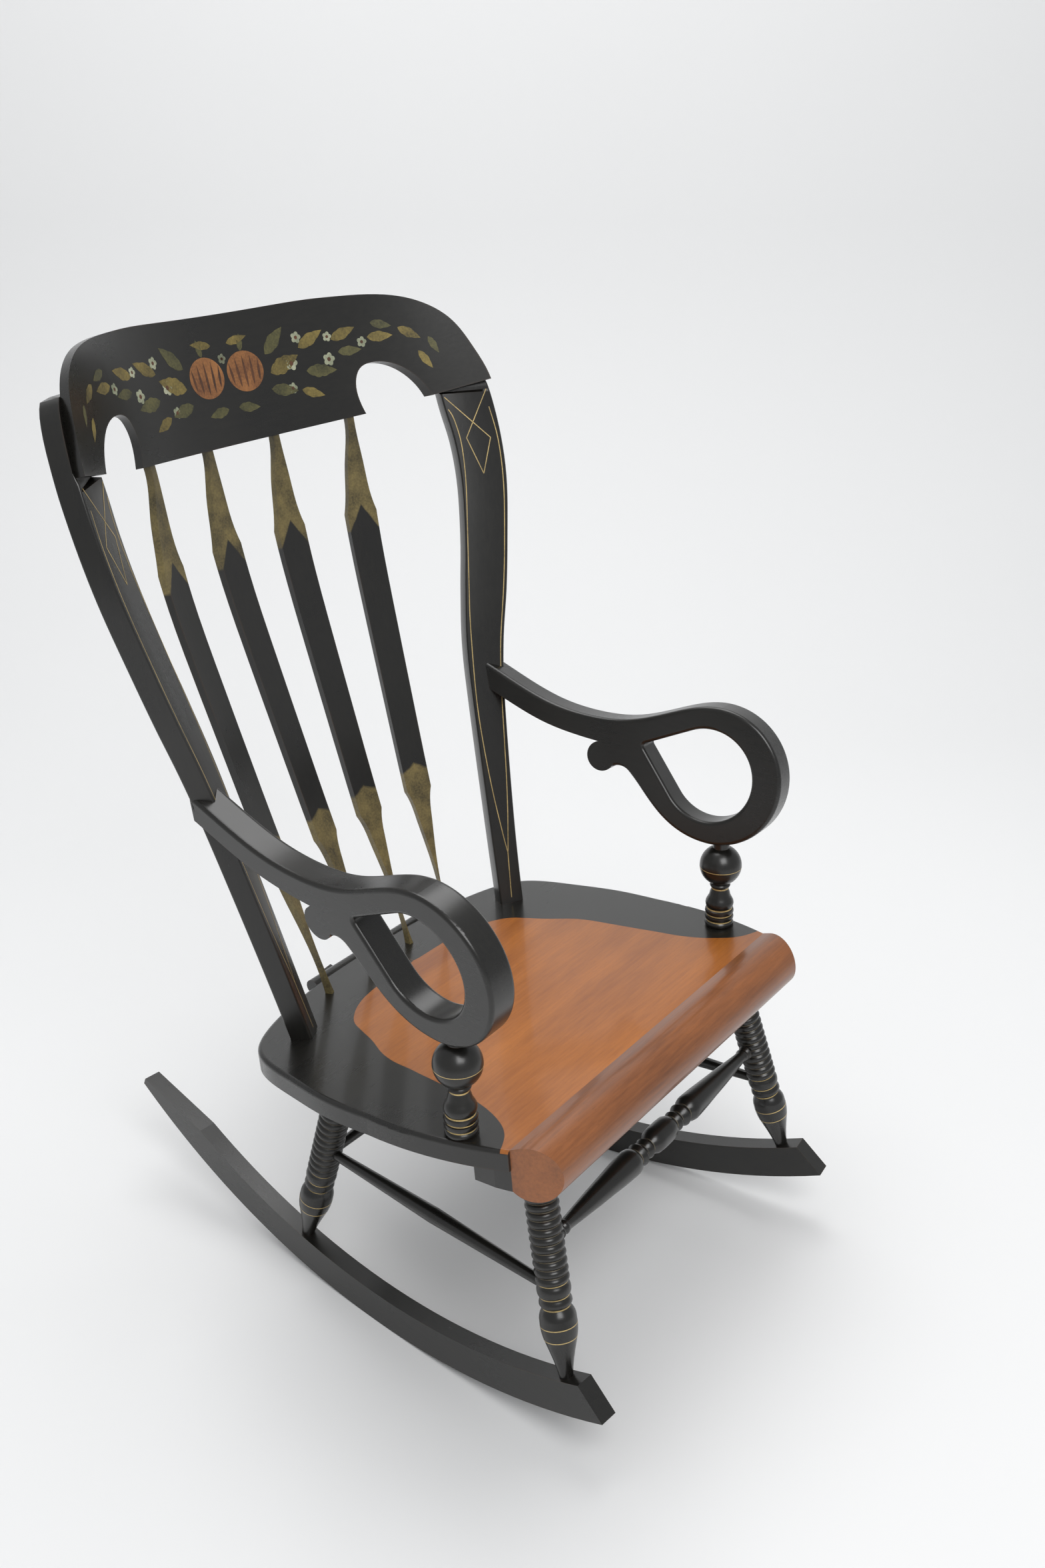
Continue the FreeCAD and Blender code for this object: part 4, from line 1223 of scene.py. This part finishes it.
@dataclass
class Base:
    """The ring-turned legs, the stretchers and the rockers."""

    front_top: Point = (207.0, -216.4, 353.149)
    front_foot: Point = (242.243, -286.4, 98.317)
    rear_top: Point = (186.0, 57.6, 327.248)
    rear_foot: Point = (199.971, 127.6, 52.844)
    stretcher_half: float = 222.233
    stretcher_y: float = -246.657
    stretcher_z: float = 243.0
    ring: float = 18.5
    groove: float = 15.9
    bulge: float = 20.0
    foot: float = 7.5
    head: float = 15.0
    pitch: float = 9.4
    cone: float = 16.0
    cone_tip: float = 7.5
    end: float = 6.0
    rings_from: float = 12.0
    taper: float = 108.0

    def leg_profile(self, span: float) -> list[Band]:
        """Gives a leg's profile from the seat down to the rocker.

        Args:
            span: The leg's length.

        Returns:
            The stations.
        """
        ring, groove, bulge = self.ring, self.groove, self.bulge
        begin, stop = self.rings_from, span - self.taper
        count = round((stop - begin) / self.pitch)
        step = (stop - begin) / count
        bands = stations(0.0, ((-TENON_IN, self.head), (begin - 4.0, self.head)))
        for k in range(count):
            low = begin + step * k
            bands += stations(low, ((-0.45, groove + 0.25, 1), (0.0, groove, 1),
                                    (0.45, groove + 0.25)))
            for t in (0.14, 0.26, 0.4, 0.5, 0.6, 0.74, 0.86):
                rise = math.sin(math.pi * t) ** 0.8
                bands.append(Band(low + step * t, groove + (ring - groove) * rise))
        bands += stations(stop, (
            (-0.4, groove + 0.2, 2), (0.4, groove + 0.2), (2.5, ring - 1.0), (5.0, ring - 0.2),
            (8.0, ring), (11.0, ring - 0.4), (13.4, ring - 1.4), (14.6, groove, 2),
            (15.6, groove), (17.5, ring - 1.6), (20.0, ring - 0.7), (22.5, ring - 0.5),
            (25.0, ring - 1.7), (26.6, groove - 1.0, 2), (27.8, groove - 0.8),
            (30.0, groove + 0.8), (33.0, bulge - 1.6), (36.0, bulge - 0.5), (39.0, bulge),
            (46.0, bulge + 0.1), (51.0, bulge), (56.0, bulge - 0.5), (63.0, bulge - 2.0),
            (70.0, bulge - 3.9), (78.0, bulge - 6.2), (88.0, bulge - 8.8),
            (98.0, bulge - 11.0), (self.taper, self.foot), (self.taper + 6.0, self.foot)))
        for at in (span - 61.0, span - 46.0):
            bands = gold_line(bands, at, 1.1)
        return [Band(b.at, b.radius, 2 if b.mark == 1 and b.at > stop + 30.0 else b.mark)
                for b in bands]

    def stretcher_profile(self) -> list[Band]:
        """Gives the front stretcher's profile from one leg to the other.

        Returns:
            The stations.
        """
        mid = self.stretcher_half
        skin = mid - self.groove
        cone, tip, end = self.cone, self.cone_tip, self.end
        rows = [(-skin - TENON_IN, end), (-skin + 0.5, end), (-skin + 2.5, tip), (-skin + 5.0, tip + 1.5),
                (-skin + 7.2, tip + 0.6), (-skin + 9.0, end + 0.5), (-skin + 11.0, tip + 0.5),
                (-skin + 13.0, tip + 1.0), (-skin + 15.5, tip + 0.3), (-skin + 18.0, tip - 0.5),
                (-0.76 * mid, tip + 1.1), (-0.62 * mid, tip + 3.7), (-0.50 * mid, cone - 3.0),
                (-0.39 * mid, cone - 1.1), (-0.31 * mid, cone - 0.15), (-0.285 * mid, cone),
                (-0.262 * mid, cone - 1.0), (-0.245 * mid, cone - 3.8), (-0.235 * mid, cone - 5.5),
                (-0.222 * mid, cone - 3.6), (-0.205 * mid, cone - 2.0), (-0.188 * mid, cone - 3.8),
                (-0.17 * mid, cone - 7.5), (-0.155 * mid, cone - 4.6), (-0.14 * mid, cone - 3.5),
                (-0.127 * mid, cone - 4.9), (-0.115 * mid, cone - 7.0), (-0.095 * mid, cone - 3.6),
                (-0.07 * mid, cone - 1.2), (-0.035 * mid, cone - 0.7), (0.0, cone - 0.6)]
        half = stations(mid, rows)
        other = [Band(2.0 * mid - b.at, b.radius) for b in reversed(half[:-1])]
        bands = half + other
        for share in (0.235, 0.17, 0.115, -0.115, -0.17, -0.235):
            bands = gold_line(bands, mid - share * mid, 1.4)
        return bands

    def build(self, frame: dict, palette: Palette) -> None:
        """Turns the legs and the front stretcher and dresses the rest.

        Args:
            frame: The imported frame.
            palette: The shared finishes.
        """
        finishes = [palette.upright, palette.groove, palette.lines]
        for end_name, top, foot in (("front", self.front_top, self.front_foot),
                                    ("rear", self.rear_top, self.rear_foot)):
            start, end = Vector(top), Vector(foot)
            bands = self.leg_profile((end - start).length)
            for side in Side:
                Turning(f"{side.word}_turned_{end_name}_leg", start, end, bands).build(
                    finishes, [f"{side.word}_{end_name}_leg"], side)
        near, far = (Vector((x, self.stretcher_y, self.stretcher_z))
                     for x in (-self.stretcher_half, self.stretcher_half))
        Turning("turned_front_stretcher", near, far, self.stretcher_profile()).build(
            [palette.across, palette.groove], ["front_stretcher"])
        dress(frame, "rear_stretcher", palette.across)
        for side in Side:
            dress(frame, f"{side.word}_side_stretcher", palette.along)
            dress(frame, f"{side.word}_rocker", palette.along)


@dataclass
class Dowels:
    """The dowels that hold the crest and the arms to the posts."""

    tone: Timber = Timber(light=(0.52, 0.36, 0.2), dark=(0.38, 0.25, 0.13))

    def build(self, frame: dict) -> None:
        """Dresses the dowels.

        Args:
            frame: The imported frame.
        """
        bare = self.tone.material("bare_dowel_wood")
        for side in Side:
            for kind in ("crest_dowel_1", "crest_dowel_2", "arm_dowel"):
                dress(frame, f"{side.word}_{kind}", bare)


@dataclass
class Studio:
    """The pale floor and wall, the soft lights and the camera."""

    camera_at: Point = (-1.26584, -0.97688, 1.35003)
    camera_right: Point = (0.589698, -0.807624, -0.000144)
    camera_down: Point = (-0.336560, -0.245583, -0.909074)
    lens: float = 35.78
    pale: Colour = (0.80, 0.80, 0.80)
    world: float = 0.50
    floor_ahead: float = 1.6
    sweep_radius: float = 1.0
    half_width: float = 6.0

    def floor_finish(self) -> bpy.types.Material:
        """Mixes the floor's pale finish.

        Returns:
            The floor's material.
        """
        graph = Graph("pale_floor")
        cloud = graph.noise(1.2, detail=2.0)
        tone = graph.blend(cloud, self.pale, mix_colours(self.pale, (1.0, 1.0, 1.0), 0.08))
        return graph.finish(Layer(tone, cloud * 0.1 + 0.8, cloud), bump=0.02)

    def stage(self) -> None:
        """Builds the floor that turns up into a wall behind the chair."""
        sweep = [(-4.0, 0.0), (self.floor_ahead, 0.0)]
        radius = self.sweep_radius
        for k in range(1, 13):
            turn = math.pi / 2.0 * k / 12
            sweep.append((self.floor_ahead + radius * math.sin(turn),
                          radius - radius * math.cos(turn)))
        sweep.append((self.floor_ahead + radius, 5.0))
        ahead = Vector((0.734155, 0.536128, 0.0)).normalized()
        across = Vector((-ahead.y, ahead.x, 0.0))
        points = [ahead * d + across * w + Vector((0, 0, h - 0.0005))
                  for d, h in sweep for w in (-self.half_width, self.half_width)]
        faces = [(2 * i, 2 * i + 2, 2 * i + 3, 2 * i + 1) for i in range(len(sweep) - 1)]
        mesh = bpy.data.meshes.new("studio_floor")
        mesh.from_pydata([tuple(p) for p in points], [], faces)
        mesh.materials.append(self.floor_finish())
        mesh.polygons.foreach_set("use_smooth", [True] * len(faces))
        made = bpy.data.objects.new("studio_floor", mesh)
        bpy.context.scene.collection.objects.link(made)

    def light(self, name: str, at: Point, aim: Point, size: float, power: float) -> None:
        """Hangs a soft light.

        Args:
            name: Its name.
            at: Its place.
            aim: The point that it faces.
            size: Its width in metres.
            power: Its power in watts.
        """
        lamp = bpy.data.lights.new(name, "AREA")
        lamp.shape = "SQUARE"
        lamp.size = size
        lamp.energy = power
        made = bpy.data.objects.new(name, lamp)
        made.location = at
        made.rotation_euler = (Vector(aim) - Vector(at)).to_track_quat("-Z", "Y").to_euler()
        bpy.context.scene.collection.objects.link(made)

    def shoot(self) -> None:
        """Sets the world's light, the lamps and the camera."""
        world = bpy.data.worlds.new("studio_air")
        world.use_nodes = True
        sky = world.node_tree.nodes["Background"]
        sky.inputs["Color"].default_value = (0.96, 0.98, 1.0, 1.0)
        sky.inputs["Strength"].default_value = self.world
        scene = bpy.context.scene
        scene.world = world
        scene.view_settings.view_transform = "Standard"
        self.light("window_key", (-1.6, -2.2, 3.2), (0.0, 0.0, 0.5), 2.0, 72.0)
        self.light("overhead_fill", (0.6, 0.8, 3.6), (0.0, 0.1, 0.4), 2.4, 62.0)
        data = bpy.data.cameras.new("photo_camera")
        data.lens = self.lens
        data.sensor_width = 36.0
        data.sensor_fit = "AUTO"
        made = bpy.data.objects.new("photo_camera", data)
        right, down = Vector(self.camera_right), Vector(self.camera_down)
        turn = Matrix((right, -down, right.cross(-down))).transposed()
        made.matrix_world = Matrix.Translation(self.camera_at) @ turn.to_4x4()
        scene.collection.objects.link(made)
        scene.camera = made


def empty_scene() -> None:
    """Removes whatever the start-up file holds."""
    for item in list(bpy.data.objects):
        bpy.data.objects.remove(item, do_unlink=True)


def main() -> None:
    """Loads the frame and builds the chair's looks piece by piece."""
    logging.basicConfig(level=logging.INFO, format="%(name)s: %(message)s")
    empty_scene()
    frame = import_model()
    palette = Palette.mixed()
    seat = Seat()
    seat.build(frame, palette)
    back = Back(seat)
    back.build(frame, palette)
    Stencil(back).build()
    Arms().build(frame, palette)
    Base().build(frame, palette)
    Dowels().build(frame)
    studio = Studio()
    studio.stage()
    studio.shoot()


if __name__ == "__main__":
    main()
